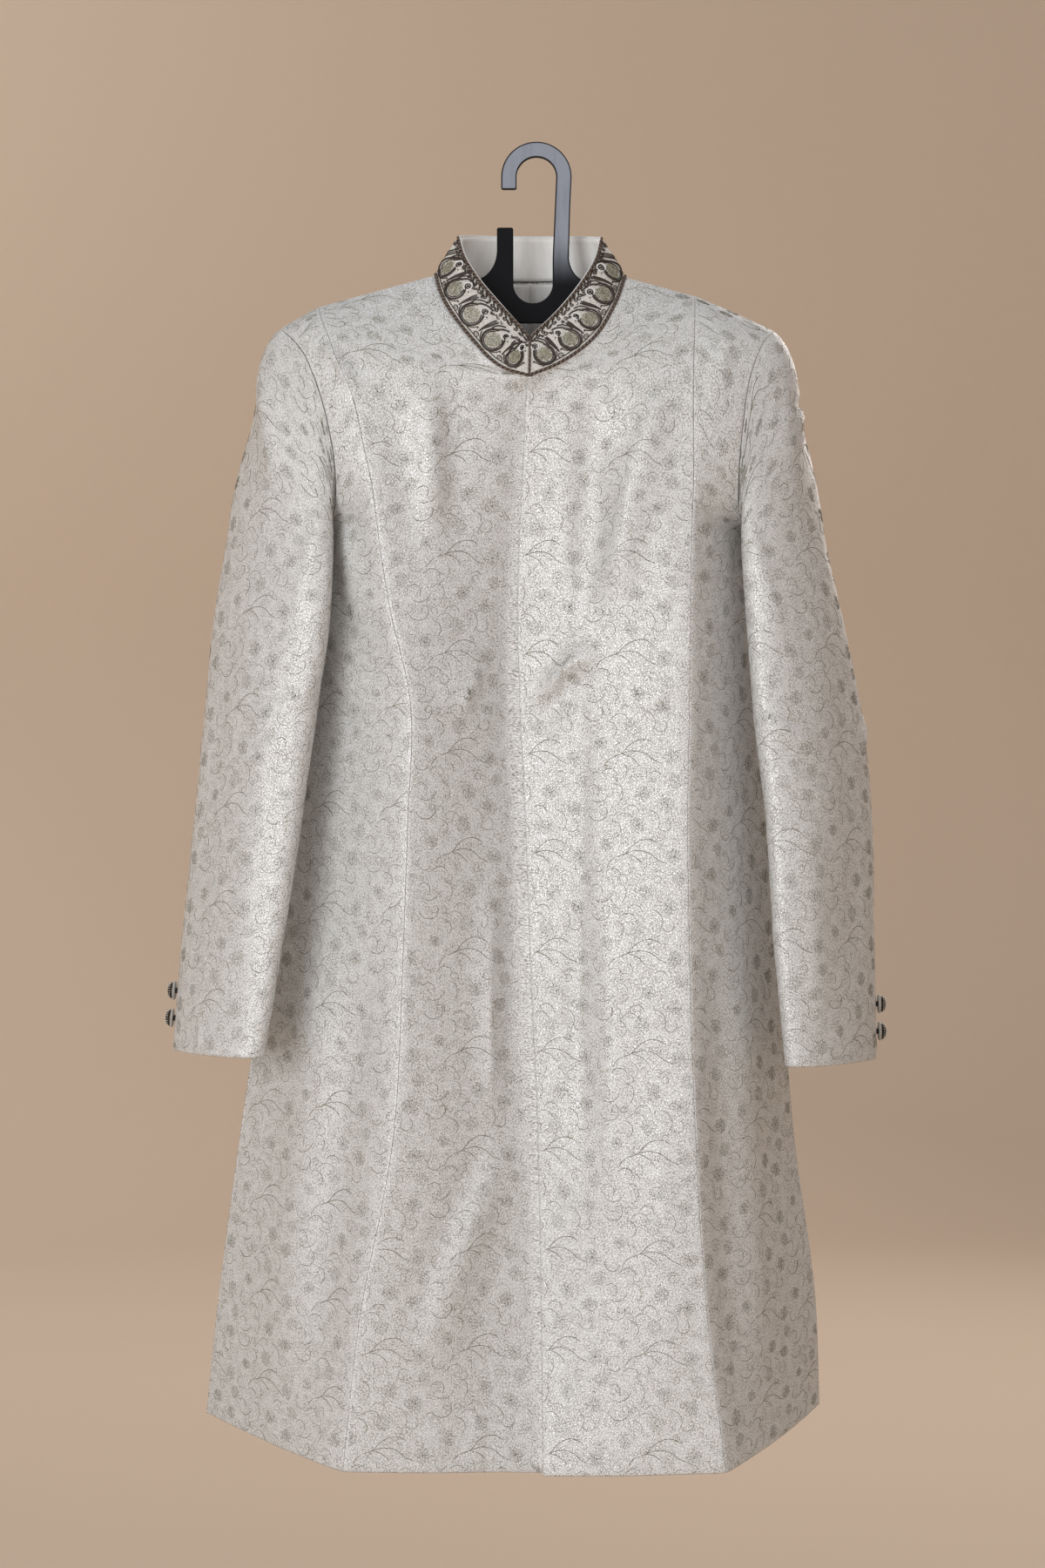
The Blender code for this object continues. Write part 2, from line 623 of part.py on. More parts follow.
def wrapped(sheet, first, last):
    """Columns first to last of a tube, where last may lie past the end of its rows."""
    count = len(sheet.points[0])
    picks = [c % count for c in range(first, last + 1)]
    return Sheet([[row[c] for c in picks] for row in sheet.points],
                 [[line[c] for c in picks] for line in sheet.outward])


def button_spot(rings, tube, column, angle, z, is_right):
    """Point on a column of the cuff at this height, and the way the cloth faces there."""
    for low, high in zip(tube.points, tube.points[1:]):
        if low[column].z <= z <= high[column].z:
            share = (z - low[column].z) / (high[column].z - low[column].z)
            break
    middle, long_way, thick_way = ring_axes(rings[0], is_right)
    facing = (long_way * (math.cos(angle) / long_way.length_squared)
              + thick_way * (math.sin(angle) / thick_way.length_squared))
    return low[column].lerp(high[column], share), facing.normalized()


# ---------------------------------------------------------------- collar and neck lining
def collar_edge(stations, count_front, count_back):
    """Top edge of half the collar, from its front end to the centre back."""
    corner = [edge.name for edge in stations].index("corner")
    points = [Vector((edge.x, edge.y, edge.z)) for edge in stations]
    return (evenly(points[:corner + 1], count_front)
            + evenly(points[corner:], count_back)[1:])


def evenly(points, count):
    """A smooth curve through the points, cut into equal lengths."""
    fine = through(points, [12] * (len(points) - 1))
    lengths = [0.0]
    for a, b in zip(fine, fine[1:]):
        lengths.append(lengths[-1] + (b - a).length)
    result = []
    i = 0
    for k in range(count + 1):
        want = lengths[-1] * k / count
        while i < len(fine) - 2 and lengths[i + 1] < want:
            i += 1
        share = (want - lengths[i]) / (lengths[i + 1] - lengths[i])
        result.append(fine[i].lerp(fine[i + 1], min(max(share, 0.0), 1.0)))
    return result


def collar_sheet(front_right, back_right, front_left, back_left):
    """The standing collar round the neck, from its right end to its left end."""
    neck = row_index(FRONT_RIGHT, NECK_CORNER)
    end = len(front_right.points) - 1

    def half(front, back, stations, slit):
        seam = [(front, r) for r in range(neck, end + 1)] + [(back, r) for r in range(end - 1, neck - 1, -1)]
        low = [sheet.points[r][0].copy() for sheet, r in seam]
        top = collar_edge(stations, end - neck, end - neck)
        low[0].x += slit
        top[0].x += slit
        return seam, low, top

    right = half(front_right, back_right, COLLAR_TOP_RIGHT, -0.5 * COLLAR_SLIT)
    left = half(front_left, back_left, COLLAR_TOP_LEFT, 0.5 * COLLAR_SLIT)
    seam = right[0] + left[0][::-1][1:]
    low = right[1] + left[1][::-1][1:]
    top = right[2] + left[2][::-1][1:]
    grid = []
    for k in range(COLLAR_ROWS + 1):
        t = k / COLLAR_ROWS
        grid.append([a.lerp(b, t) for a, b in zip(low, top)])
    outward = normals(grid, True)
    for row, line, t in zip(grid, outward, [k / COLLAR_ROWS for k in range(COLLAR_ROWS + 1)]):
        for point, facing in zip(row, line):
            point += facing * (COLLAR_BOW * 4 * t * (1 - t))
    for c, (body, r) in enumerate(seam):
        shared = meet(outward[0][c], body.outward[r][0])
        outward[0][c] = shared
        body.outward[r][0] = shared
    for back, front in ((back_right, front_right), (back_left, front_left)):
        back.outward[end][0] = front.outward[end][0]
    back_left.outward[neck][0] = back_right.outward[neck][0]
    for c in range(len(low)):
        grid[0][c] += (grid[1][c] - grid[0][c]).normalized() * LAYER_GAP
    return Sheet(grid, outward)


def neck_lining_sheets(back_right, back_left):
    """The satin inside the back, from the collar seam down to the shoulder blades."""
    first = row_index(BACK_RIGHT, "chest")
    last = len(back_right.points) - 2
    sheets = []
    for back in (back_right, back_left):
        inside = back.columns(0, LINING_COLUMNS).moved_in(CLOTH + LAYER_GAP)
        points = [[p.copy() for p in row] for row in inside.points[first:last + 1]]
        for r in range(len(points)):
            edge = points[r][0]
            if r + first > row_index(BACK_RIGHT, NECK_CORNER):
                points[r][0] = edge + (points[r][1] - edge).normalized() * LINING_BELOW_SEAM
        neck = row_index(BACK_RIGHT, NECK_CORNER) - first
        points[neck][0] += (points[neck - 1][0] - points[neck][0]).normalized() * LINING_BELOW_SEAM
        sheets.append(Sheet(points, inside.outward[first:last + 1]))
    return sheets


# ---------------------------------------------------------------- buttons
def button_mesh_object(name, spot, facing, material, collection):
    """A domed button, turned about the direction that it faces."""
    radius = 0.5 * BUTTON_DIAMETER
    dome = BUTTON_DOME_SHARE * radius
    profile = [(dome * x, BUTTON_RIM + BUTTON_DOME * z) for x, z in arc(0, 0, 1, 90, 0, 4)]
    profile += [(radius, BUTTON_RIM), (radius, BUTTON_EDGE), (radius - BUTTON_EDGE, 0.0),
                (BUTTON_SHANK, 0.0), (BUTTON_SHANK, -BUTTON_LIFT), (0.0, -BUTTON_LIFT)]
    mesh = bpy.data.meshes.new(name)
    mesh.from_pydata([(x * MM, 0.0, z * MM) for x, z in profile],
                     [(i, i + 1) for i in range(len(profile) - 1)], [])
    obj = add_object(name, mesh, material, collection)
    obj.location = (spot + facing * (BUTTON_LIFT + LAYER_GAP)) * MM
    obj.rotation_euler = facing.to_track_quat("Z", "Y").to_euler()
    screw = obj.modifiers.new("turn", "SCREW")
    screw.steps = screw.render_steps = BUTTON_SIDES
    screw.use_merge_vertices = True
    screw.merge_threshold = 0.05 * MM
    screw.use_smooth_shade = True
    return obj


# ---------------------------------------------------------------- hanger
def arc(x, z, radius, start, end, steps=8):
    return [(x + radius * math.cos(math.radians(start + (end - start) * k / steps)),
             z + radius * math.sin(math.radians(start + (end - start) * k / steps)))
            for k in range(steps + 1)]


def bend(start, corner, end, steps=5):
    """Quadratic curve from start to end, drawn towards the corner."""
    points = []
    for k in range(steps + 1):
        t = k / steps
        points.append(tuple((1 - t) ** 2 * a + 2 * t * (1 - t) * b + t * t * c
                            for a, b, c in zip(start, corner, end)))
    return points


def arm_outline(levels, sign):
    """Top and bottom edge of one arm, from the neck out to its tip and back to the middle."""
    neck, ridge, tip = levels[-1].centre, levels[-1].ridge, levels[-1].side

    def below_shoulder(x, drop):
        return x, ridge[2] + (tip[2] - ridge[2]) * (x - ridge[0]) / (tip[0] - ridge[0]) - drop

    end_x = tip[0] - sign * ARM_SHORT
    corner_x = end_x - sign * ARM_TIP_CORNER
    upper = below_shoulder(end_x, ARM_BELOW_CLOTH)
    lower = below_shoulder(end_x, ARM_TIP_HEIGHT)
    outline = [(neck[0] + sign * ARM_START, neck[2] - ARM_BELOW_NECK)]
    outline += [below_shoulder(ridge[0], ARM_BELOW_CLOTH)]
    outline += bend(below_shoulder(corner_x, ARM_BELOW_CLOTH), upper, (end_x, upper[1] - ARM_TIP_CORNER))
    outline += bend((end_x, lower[1] + ARM_TIP_CORNER), lower, (corner_x, lower[1]))
    bottom_x = BODY_BOTTOM_X[1] if sign > 0 else BODY_BOTTOM_X[0]
    outline += bend((corner_x, lower[1]), (0.5 * end_x, BODY_BOTTOM_Z), (bottom_x, BODY_BOTTOM_Z))[1:]
    return outline


def hanger_outline():
    """The plate's outline: hook, stem, left arm, right arm, prong and slot."""
    outer = HOOK_INNER + HOOK_WIDTH
    tip_z = -HOOK_INNER - HOOK_TIP_DROP
    outline = arc(-outer + CORNER, tip_z + CORNER, CORNER, 270, 180, 3)
    outline += arc(0, -HOOK_INNER, outer, 180, 0, 18)
    outline += [(outer - 0.5 * STEM_LEAN, 0.5 * STEM_END_Z)]
    outline += bend((outer - STEM_LEAN, STEM_END_Z), STEM_FLARE[0], STEM_FLARE[1])
    outline += [STEM_FLARE[2]]
    outline += arm_outline(FRONT_LEFT, 1)
    outline += arm_outline(FRONT_RIGHT, -1)[::-1]
    outline += [PRONG_FLARE[2]]
    outline += bend(PRONG_FLARE[1], PRONG_FLARE[0], (PRONG_X[0], PRONG_END_Z))
    outline += arc(PRONG_X[0] + CORNER, PRONG_TOP_Z - CORNER, CORNER, 180, 90, 3)
    outline += arc(PRONG_X[1] - CORNER, PRONG_TOP_Z - CORNER, CORNER, 90, 0, 3)
    radius = 0.5 * (SLOT_X[1] - SLOT_X[0])
    middle = 0.5 * (SLOT_X[0] + SLOT_X[1])
    outline += arc(middle, SLOT_BOTTOM_Z + radius, radius, 180, 360, 12)
    outline += [(SLOT_X[1], STEM_END_Z)]
    outline += arc(0, -HOOK_INNER, HOOK_INNER, 0, 180, 14)
    outline += arc(-HOOK_INNER - CORNER, tip_z + CORNER, CORNER, 0, -90, 3)
    return outline


def build_hanger(material, collection):
    curve = bpy.data.curves.new("hanger_outline", "CURVE")
    curve.dimensions = "2D"
    curve.fill_mode = "BOTH"
    curve.extrude = 0.5 * PLATE * MM
    outline = hanger_outline()
    spline = curve.splines.new("POLY")
    spline.points.add(len(outline) - 1)
    for point, (x, z) in zip(spline.points, outline):
        point.co = (x * MM, z * MM, 0.0, 1.0)
    spline.use_cyclic_u = True
    guide = bpy.data.objects.new("hanger_outline", curve)
    bpy.context.scene.collection.objects.link(guide)
    guide.rotation_euler = (math.radians(90), 0.0, 0.0)
    bpy.context.view_layer.update()
    mesh = bpy.data.meshes.new_from_object(guide.evaluated_get(bpy.context.evaluated_depsgraph_get()))
    shape = bmesh.new()
    shape.from_mesh(mesh)
    bmesh.ops.remove_doubles(shape, verts=shape.verts, dist=0.02 * MM)
    bmesh.ops.recalc_face_normals(shape, faces=shape.faces)
    shape.to_mesh(mesh)
    shape.free()
    mesh.materials.clear()
    obj = add_object("hanger", mesh, material, collection)
    obj.matrix_world = guide.matrix_world
    bpy.data.objects.remove(guide, do_unlink=True)


# ---------------------------------------------------------------- build
def main():
    clear_scene()
    collection = bpy.data.collections.new("sherwani_coat_on_hanger")
    bpy.context.scene.collection.children.link(collection)
    brocade = make_material("ivory_brocade", IVORY, 0.6)
    satin = make_material("cream_satin", SATIN_CREAM, 0.4)
    metal = make_material("antique_button_metal", BROWN, 0.4, 0.8)
    plastic = make_material("black_plastic", BLACK, 0.15)

    front_right, back_right = body_half(FRONT_RIGHT, BACK_RIGHT, FOLDS_RIGHT, True)
    front_left, back_left = body_half(FRONT_LEFT, BACK_LEFT, FOLDS_LEFT, False)
    collar = collar_sheet(front_right, back_right, front_left, back_left)
    sleeves = {"right": (SLEEVE_RIGHT, *sleeve_tube(SLEEVE_RIGHT, front_right, back_right, True)),
               "left": (SLEEVE_LEFT, *sleeve_tube(SLEEVE_LEFT, front_left, back_left, False))}

    def cloth(name, sheets, thickness=CLOTH, material=brocade):
        add_object(name, wall_mesh(name, sheets, thickness), material, collection)

    princess, side_seam = FRONT_COLUMNS, FRONT_COLUMNS + SIDE_COLUMNS
    lapped = with_underlap(front_right, front_left)
    shown = UNDERLAP_COLUMNS + princess
    cloth("front_right", [lapped.columns(0, shown).drawn_in(first=False)])
    cloth("front_left", [front_left.columns(0, princess).drawn_in(first=False)])
    cloth("side_right", [front_right.columns(princess, side_seam).drawn_in()])
    cloth("side_left", [front_left.columns(princess, side_seam).drawn_in()])
    cloth("back_right", [back_right.drawn_in()])
    cloth("back_left", [back_left.drawn_in()])
    for end, (rings, tube, angles, crown) in sleeves.items():
        count = len(angles)
        front_seam = min(range(crown), key=lambda i: abs(angles[i] - FRONT_SEAM_ANGLE))
        back_seam = min(range(crown, count), key=lambda i: abs(angles[i] - BACK_SEAM_ANGLE))
        cloth("top_sleeve_" + end, [wrapped(tube, front_seam, back_seam).drawn_in()])
        cloth("under_sleeve_" + end, [wrapped(tube, back_seam, front_seam + count).drawn_in()])
        for number, z in enumerate(BUTTON_HEIGHTS[end], 1):
            spot, facing = button_spot(rings, tube, back_seam - 1, angles[back_seam - 1], z, end == "right")
            button_mesh_object("button_%s_%d" % (end, number), spot, facing, metal, collection)
    cloth("collar", [collar])
    cloth("collar_lining", [collar.moved_in(CLOTH + LAYER_GAP)], SATIN, satin)
    cloth("back_neck_lining", neck_lining_sheets(back_right, back_left), SATIN, satin)
    build_hanger(plastic, collection)


main()
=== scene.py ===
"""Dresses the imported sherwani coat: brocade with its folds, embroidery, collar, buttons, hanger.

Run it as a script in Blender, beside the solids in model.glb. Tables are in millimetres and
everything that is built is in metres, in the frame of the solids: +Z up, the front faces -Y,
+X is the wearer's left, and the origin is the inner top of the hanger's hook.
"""
import math
import random
from bisect import bisect_right
from collections import namedtuple
from functools import lru_cache

import bmesh
import bpy
from bpy.props import FloatProperty, FloatVectorProperty, IntProperty, PointerProperty
from mathutils import Matrix, Vector, noise


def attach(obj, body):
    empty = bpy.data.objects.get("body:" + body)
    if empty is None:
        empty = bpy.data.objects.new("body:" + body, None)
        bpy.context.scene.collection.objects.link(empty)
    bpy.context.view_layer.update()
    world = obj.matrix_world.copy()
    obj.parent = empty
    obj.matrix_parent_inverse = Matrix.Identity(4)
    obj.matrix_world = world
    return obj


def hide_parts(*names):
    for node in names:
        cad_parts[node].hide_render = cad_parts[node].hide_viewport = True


bl_info = {
    "name": "Sherwani Coat on a Hanger",
    "version": (1, 0, 0),
    "blender": (4, 5, 0),
    "location": "View3D > Sidebar > Sherwani",
    "description": "Builds the cloth, embroidery, collar, buttons and hanger of a sherwani coat",
    "category": "Add Mesh",
}

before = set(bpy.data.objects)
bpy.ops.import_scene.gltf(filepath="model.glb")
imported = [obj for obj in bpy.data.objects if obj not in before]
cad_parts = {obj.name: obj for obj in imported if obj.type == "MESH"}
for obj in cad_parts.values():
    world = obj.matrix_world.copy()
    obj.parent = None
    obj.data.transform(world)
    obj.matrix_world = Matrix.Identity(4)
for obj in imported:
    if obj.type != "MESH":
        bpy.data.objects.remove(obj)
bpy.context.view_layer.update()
MM = 0.001
BODY = "root"

# ---------------------------------------------------------------- the coat's form, in mm
CLOTH = 2.0
SATIN = 1.2
LAYER_GAP = 0.4
SEAM_GAP = 0.3
COLLAR_SLIT = 1.0
HEM_STEP = 3.0
FRONT_COLUMNS = 8       # columns of the solids, from the closing edge to the princess seam
SIDE_COLUMNS = 4
BACK_COLUMNS = 4
UNDERLAP_COLUMNS = 2
CAP_ROWS = 5
ROWS_FINER = 5          # rows of the cloth for each row of the solids
FRONT_FINER = 3
SIDE_FINER = 5
BACK_FINER = 5
SLEEVE_SKIP = 2         # rows of the armhole for each column of the sleeve

Level = namedtuple("Level", "name steps centre ridge side")
FRONT_RIGHT = [
    Level("hem", 3, (4, -46, -1182), (-172, -66, -1174), (-309, 90, -1156)),
    Level("low skirt", 4, (1, -43, -1054), (-159, -66, -1052), (-298, 82, -1056)),
    Level("skirt", 4, (-3, -40, -876), (-127, -65, -875), (-274, 63, -886)),
    Level("hip", 3, (-10, -38, -722), (-119, -64, -721), (-250, 50, -728)),
    Level("high hip", 3, (-14, -36, -606), (-115, -64, -605), (-233, 42, -607)),
    Level("waist", 2, (-19, -36, -489), (-113, -63, -490), (-223, 36, -487)),
    Level("rib", 2, (-20, -39, -412), (-130, -63, -413), (-220, 34, -407)),
    Level("armpit", 2, (-17, -43, -335), (-142, -64, -336), (-212, 28, -338)),
    Level("low scye", 1, (-14, -47, -292), (-146, -64, -302), (-181, -34, -322)),
    Level("scye", 2, (-12, -49, -258), (-154, -62, -265), (-179, -46, -296)),
    Level("chest", 2, (-10, -53, -229), (-163, -57, -224), (-186, -47, -246)),
    Level("neck", 2, (-7, -58, -206), (-179, -46, -186), (-199, -40, -203)),
    Level("low collar", 2, (-29, -56, -199), (-187, -36, -164), (-209, -32, -181)),
    Level("mid collar", 2, (-60, -43, -168), (-193, -25, -149), (-219, -23, -168)),
    Level("high collar", 2, (-85, -19, -128), (-196, -12, -139), (-228, -12, -159)),
    Level("shoulder", 0, (-91, 0, -106), (-197, 0, -135), (-232, 0, -155)),
]
FRONT_LEFT = [
    Level("hem", 3, (4, -46, -1185), (168, -66, -1175), (266, 90, -1148)),
    Level("low skirt", 4, (1, -43, -1054), (153, -66, -1052), (262, 82, -1056)),
    Level("skirt", 4, (-3, -40, -876), (141, -65, -875), (239, 63, -886)),
    Level("hip", 3, (-10, -38, -722), (136, -64, -721), (226, 50, -728)),
    Level("high hip", 3, (-14, -36, -606), (134, -64, -605), (215, 42, -607)),
    Level("waist", 2, (-19, -36, -489), (136, -63, -490), (206, 36, -487)),
    Level("rib", 2, (-20, -39, -412), (137, -63, -413), (204, 34, -407)),
    Level("armpit", 2, (-17, -43, -335), (138, -64, -336), (200, 28, -338)),
    Level("low scye", 1, (-14, -47, -292), (139, -64, -302), (181, -34, -322)),
    Level("scye", 2, (-12, -49, -258), (139, -62, -265), (180, -46, -296)),
    Level("chest", 2, (-10, -53, -229), (139, -57, -224), (184, -47, -246)),
    Level("neck", 2, (-7, -58, -206), (140, -46, -186), (191, -40, -203)),
    Level("low collar", 2, (22, -53, -193), (141, -36, -164), (199, -32, -181)),
    Level("mid collar", 2, (50, -44, -171), (142, -25, -146), (206, -23, -168)),
    Level("high collar", 2, (70, -24, -137), (143, -12, -132), (212, -12, -161)),
    Level("shoulder", 0, (80, 0, -108), (143, 0, -125), (215, 0, -157)),
]
BACK_RIGHT = [
    Level("hem", 3, (-18, 124, -1162), (-170, 134, -1164), (-309, 90, -1156)),
    Level("low skirt", 4, (-17, 112, -1055), (-160, 123, -1056), (-298, 82, -1056)),
    Level("skirt", 4, (-14, 92, -878), (-142, 103, -878), (-274, 63, -886)),
    Level("hip", 3, (-11, 78, -724), (-128, 89, -724), (-250, 50, -728)),
    Level("high hip", 3, (-10, 68, -606), (-119, 79, -606), (-233, 42, -607)),
    Level("waist", 2, (-9, 64, -489), (-114, 74, -489), (-223, 36, -487)),
    Level("rib", 2, (-8, 69, -410), (-115, 79, -411), (-220, 34, -407)),
    Level("armpit", 2, (-8, 76, -334), (-120, 85, -337), (-212, 28, -338)),
    Level("low scye", 1, (-7, 78, -285), (-128, 84, -300), (-203, 57, -320)),
    Level("scye", 2, (-7, 77, -238), (-137, 80, -266), (-198, 63, -293)),
    Level("chest", 2, (-6, 70, -175), (-152, 72, -226), (-199, 60, -246)),
    Level("neck", 2, (-6, 51, -104), (-172, 55, -184), (-206, 49, -205)),
    Level("low collar", 2, (-33, 46, -104), (-183, 42, -163), (-214, 38, -183)),
    Level("mid collar", 2, (-59, 34, -104), (-191, 28, -148), (-222, 26, -169)),
    Level("high collar", 2, (-79, 17, -105), (-196, 13, -139), (-229, 13, -160)),
    Level("shoulder", 0, (-91, 0, -106), (-197, 0, -135), (-232, 0, -155)),
]
BACK_LEFT = [
    Level("hem", 3, (-18, 124, -1162), (134, 134, -1164), (266, 90, -1148)),
    Level("low skirt", 4, (-17, 112, -1055), (127, 123, -1056), (262, 82, -1056)),
    Level("skirt", 4, (-14, 92, -878), (115, 103, -878), (239, 63, -886)),
    Level("hip", 3, (-11, 78, -724), (106, 89, -724), (226, 50, -728)),
    Level("high hip", 3, (-10, 68, -606), (100, 79, -606), (215, 42, -607)),
    Level("waist", 2, (-9, 64, -489), (97, 74, -489), (206, 36, -487)),
    Level("rib", 2, (-8, 69, -410), (99, 79, -411), (204, 34, -407)),
    Level("armpit", 2, (-8, 76, -334), (106, 85, -337), (200, 28, -338)),
    Level("low scye", 1, (-7, 78, -285), (113, 84, -300), (190, 57, -320)),
    Level("scye", 2, (-7, 77, -238), (121, 80, -266), (185, 63, -293)),
    Level("chest", 2, (-6, 70, -175), (130, 72, -226), (186, 60, -246)),
    Level("neck", 2, (-6, 51, -104), (137, 55, -180), (192, 49, -205)),
    Level("low collar", 2, (22, 46, -104), (140, 42, -160), (199, 38, -183)),
    Level("mid collar", 2, (48, 34, -105), (142, 28, -144), (206, 26, -169)),
    Level("high collar", 2, (68, 17, -106), (143, 13, -131), (212, 13, -161)),
    Level("shoulder", 0, (80, 0, -108), (143, 0, -125), (215, 0, -157)),
]
NECK_CORNER = "neck"
ARMPIT_CORNER = "armpit"

Ring = namedtuple("Ring", "steps z outer inner middle_y turn thick")
SLEEVE_RIGHT = [
    Ring(3, -810, -334, -242, -3, 49, 46),
    Ring(2, -711, -326, -226, 0, 49, 50),
    Ring(3, -599, -315, -209, 2, 48, 56),
    Ring(3, -487, -304, -193, 1, 47, 58),
    Ring(1, -423, -298, -184, -1, 46, 56),
    Ring(0, -366, -288, -181, -4, 44, 50),
]
SLEEVE_LEFT = [
    Ring(3, -818, 313, 221, -3, 49, 46),
    Ring(2, -711, 311, 211, 0, 49, 50),
    Ring(3, -591, 309, 203, 2, 48, 56),
    Ring(3, -505, 300, 193, 1, 47, 58),
    Ring(1, -423, 282, 187, -5, 46, 52),
    Ring(0, -366, 268, 183, -9, 44, 44),
]
Spring = namedtuple("Spring", "inwards up")
CAP_SPRING = {"front": Spring(0.14, 0.24), "crown": Spring(0.6, 0.5),
              "back": Spring(1.4, 0.3), "armpit": Spring(0.14, 0.24)}
CAP_HANG = 1.0
FRONT_SEAM_ANGLE = math.radians(215)
BACK_SEAM_ANGLE = math.radians(13)

Edge = namedtuple("Edge", "name x y z")
COLLAR_TOP_RIGHT = [
    Edge("front end", -6, -43, -169), Edge("front", -30, -35, -141), Edge("front side", -53, -24, -112),
    Edge("side", -65, -11, -90), Edge("corner", -70, 2, -71), Edge("back side", -58, 22, -67),
    Edge("back", -34, 38, -65), Edge("centre back", -6, 44, -64),
]
COLLAR_TOP_LEFT = [
    Edge("front end", -6, -43, -169), Edge("front", 18, -35, -145), Edge("front side", 41, -23, -115),
    Edge("side", 53, -11, -93), Edge("corner", 58, 2, -72), Edge("back side", 46, 22, -68),
    Edge("back", 22, 38, -65), Edge("centre back", -6, 44, -64),
]
COLLAR_BOW = 1.2

# Main folds, which the solids have too: a soft ridge (+) or trough (-) of the front view.
Fold = namedtuple("Fold", "name x0 z0 x1 z1 width height")
FOLD_RUN = 1.25
FOLDS_RIGHT = [
    Fold("chest ridge", -104, -190, -84, -360, 26, 5.0),
    Fold("chest trough", -134, -200, -112, -380, 26, -4.0),
    Fold("waist pull", -45, -440, -75, -505, 24, 3.5),
    Fold("skirt ridge", -36, -650, -34, -900, 24, 4.0),
    Fold("skirt pull", -14, -880, -88, -1060, 30, 4.5),
]
FOLDS_LEFT = [
    Fold("chest pull", 112, -200, 62, -430, 32, 5.0),
    Fold("chest trough", 54, -220, 50, -440, 28, -5.0),
    Fold("waist pull", 52, -440, -8, -490, 26, 5.0),
    Fold("skirt trough", 36, -640, 38, -920, 28, -3.5),
]
FOLDS_BACK = [
    Fold("right skirt ridge", -92, -620, -112, -1170, 44, 6.0),
    Fold("right skirt trough", -52, -640, -60, -1170, 40, -5.0),
    Fold("left skirt ridge", 70, -600, 92, -1170, 46, 6.0),
    Fold("left skirt trough", 24, -650, 38, -1170, 40, -5.0),
    Fold("nape ridge", -60, -200, -70, -400, 40, 3.0),
]
SIDE_BOW = 5.0
WIDE_SIDE = 100.0
RIDGE_ROUND = 6.0       # length over which the princess ridge turns

# Finer creases, one by one: a path of (x, z) in mm, its breadth, height and lean. A
# leaning crease is steeper on the right of its path.
Crease = namedtuple("Crease", "name path width height lean")
CREASES_RIGHT = [
    Crease("centre valley", [(-10, -80), (-10, -320), (-11, -520), (-14, -800), (-15, -1400)],
           64, -13.5, 0.0),
    Crease("shoulder drag", [(-191, -172), (-173, -198), (-157, -230)], 7, 2.6, 0.3),
    Crease("shoulder hollow", [(-178, -170), (-160, -200), (-148, -232)], 8, -1.8, 0.0),
    Crease("chest streak", [(-98, -184), (-93, -250), (-91, -345)], 10, 2.4, 0.2),
    Crease("chest hollow", [(-76, -205), (-72, -290), (-74, -370)], 12, -1.8, 0.0),
    Crease("underarm drag", [(-176, -322), (-166, -372), (-150, -430)], 10, 2.2, -0.2),
    Crease("underarm hollow", [(-186, -352), (-176, -400), (-165, -450)], 9, -2.0, 0.0),
    Crease("waist pull", [(-44, -460), (-54, -482), (-68, -508)], 6, 3.2, 0.3),
    Crease("waist pull low", [(-30, -488), (-44, -512), (-62, -530)], 6, 1.2, 0.0),
    Crease("side waist break", [(-190, -462), (-160, -486), (-132, -496)], 7, 1.7, 0.2),
    Crease("skirt streak", [(-35, -640), (-36, -720), (-35, -880)], 9, 1.5, 0.2),
    Crease("skirt hollow", [(-19, -640), (-18, -750), (-16, -872)], 7, -1.0, 0.0),
    Crease("skirt sweep", [(-14, -872), (-58, -950), (-86, -1030), (-98, -1120)], 16, 1.7, 0.3),
    Crease("skirt sweep hollow", [(-36, -880), (-80, -968), (-112, -1060)], 16, -1.4, 0.0),
    Crease("side skirt ridge", [(-176, -640), (-205, -860), (-236, -1150)], 20, 3.4, 0.0),
    Crease("side skirt hollow", [(-150, -700), (-176, -900), (-200, -1150)], 18, -3.0, 0.0),
    Crease("hem pucker 1", [(-90, -1132), (-90, -1184)], 4, 1.5, 0.0),
    Crease("hem pucker 2", [(-55, -1128), (-55, -1184)], 4, 1.7, 0.3),
    Crease("hem pucker 3", [(-36, -1138), (-36, -1184)], 3, 1.2, 0.0),
    Crease("hem pucker 4", [(-24, -1134), (-24, -1184)], 3, 1.4, 0.0),
    Crease("hem pucker 5", [(-238, -1120), (-240, -1170)], 5, 1.8, 0.0),
]
CREASES_LEFT = [
    Crease("shoulder drag", [(171, -152), (166, -190), (160, -232)], 9, 1.8, -0.2),
    Crease("chest pull", [(112, -196), (84, -300), (58, -414)], 12, 3.8, 0.3),
    Crease("chest hollow", [(50, -212), (46, -320), (38, -430)], 12, -3.2, 0.0),
    Crease("breast ridge", [(118, -250), (112, -340), (116, -430)], 13, 1.8, 0.0),
    Crease("waist pull", [(52, -440), (26, -462), (-10, -492)], 8, 4.6, 0.3),
    Crease("waist pull hollow", [(44, -460), (20, -486), (-6, -522)], 9, -3.0, 0.0),
    Crease("waist break", [(132, -470), (104, -490), (78, -496)], 8, 1.6, 0.2),
    Crease("skirt stripe", [(39, -446), (37, -640), (34, -780), (38, -915)], 7, -2.4, 0.0),
    Crease("skirt ridge", [(60, -640), (64, -820), (72, -1020)], 14, 2.0, 0.0),
    Crease("low skirt ridge", [(104, -820), (112, -980), (122, -1170)], 18, 2.4, 0.0),
    Crease("side skirt ridge", [(176, -640), (188, -880), (206, -1150)], 18, 3.2, 0.0),
    Crease("side skirt hollow", [(160, -700), (168, -900), (184, -1150)], 16, -2.8, 0.0),
    Crease("hem pucker 1", [(46, -1140), (46, -1186)], 4, 1.2, 0.0),
    Crease("hem pucker 2", [(92, -1136), (93, -1182)], 5, 1.4, 0.0),
    Crease("hem pucker 3", [(140, -1136), (141, -1180)], 4, 1.1, 0.0),
]
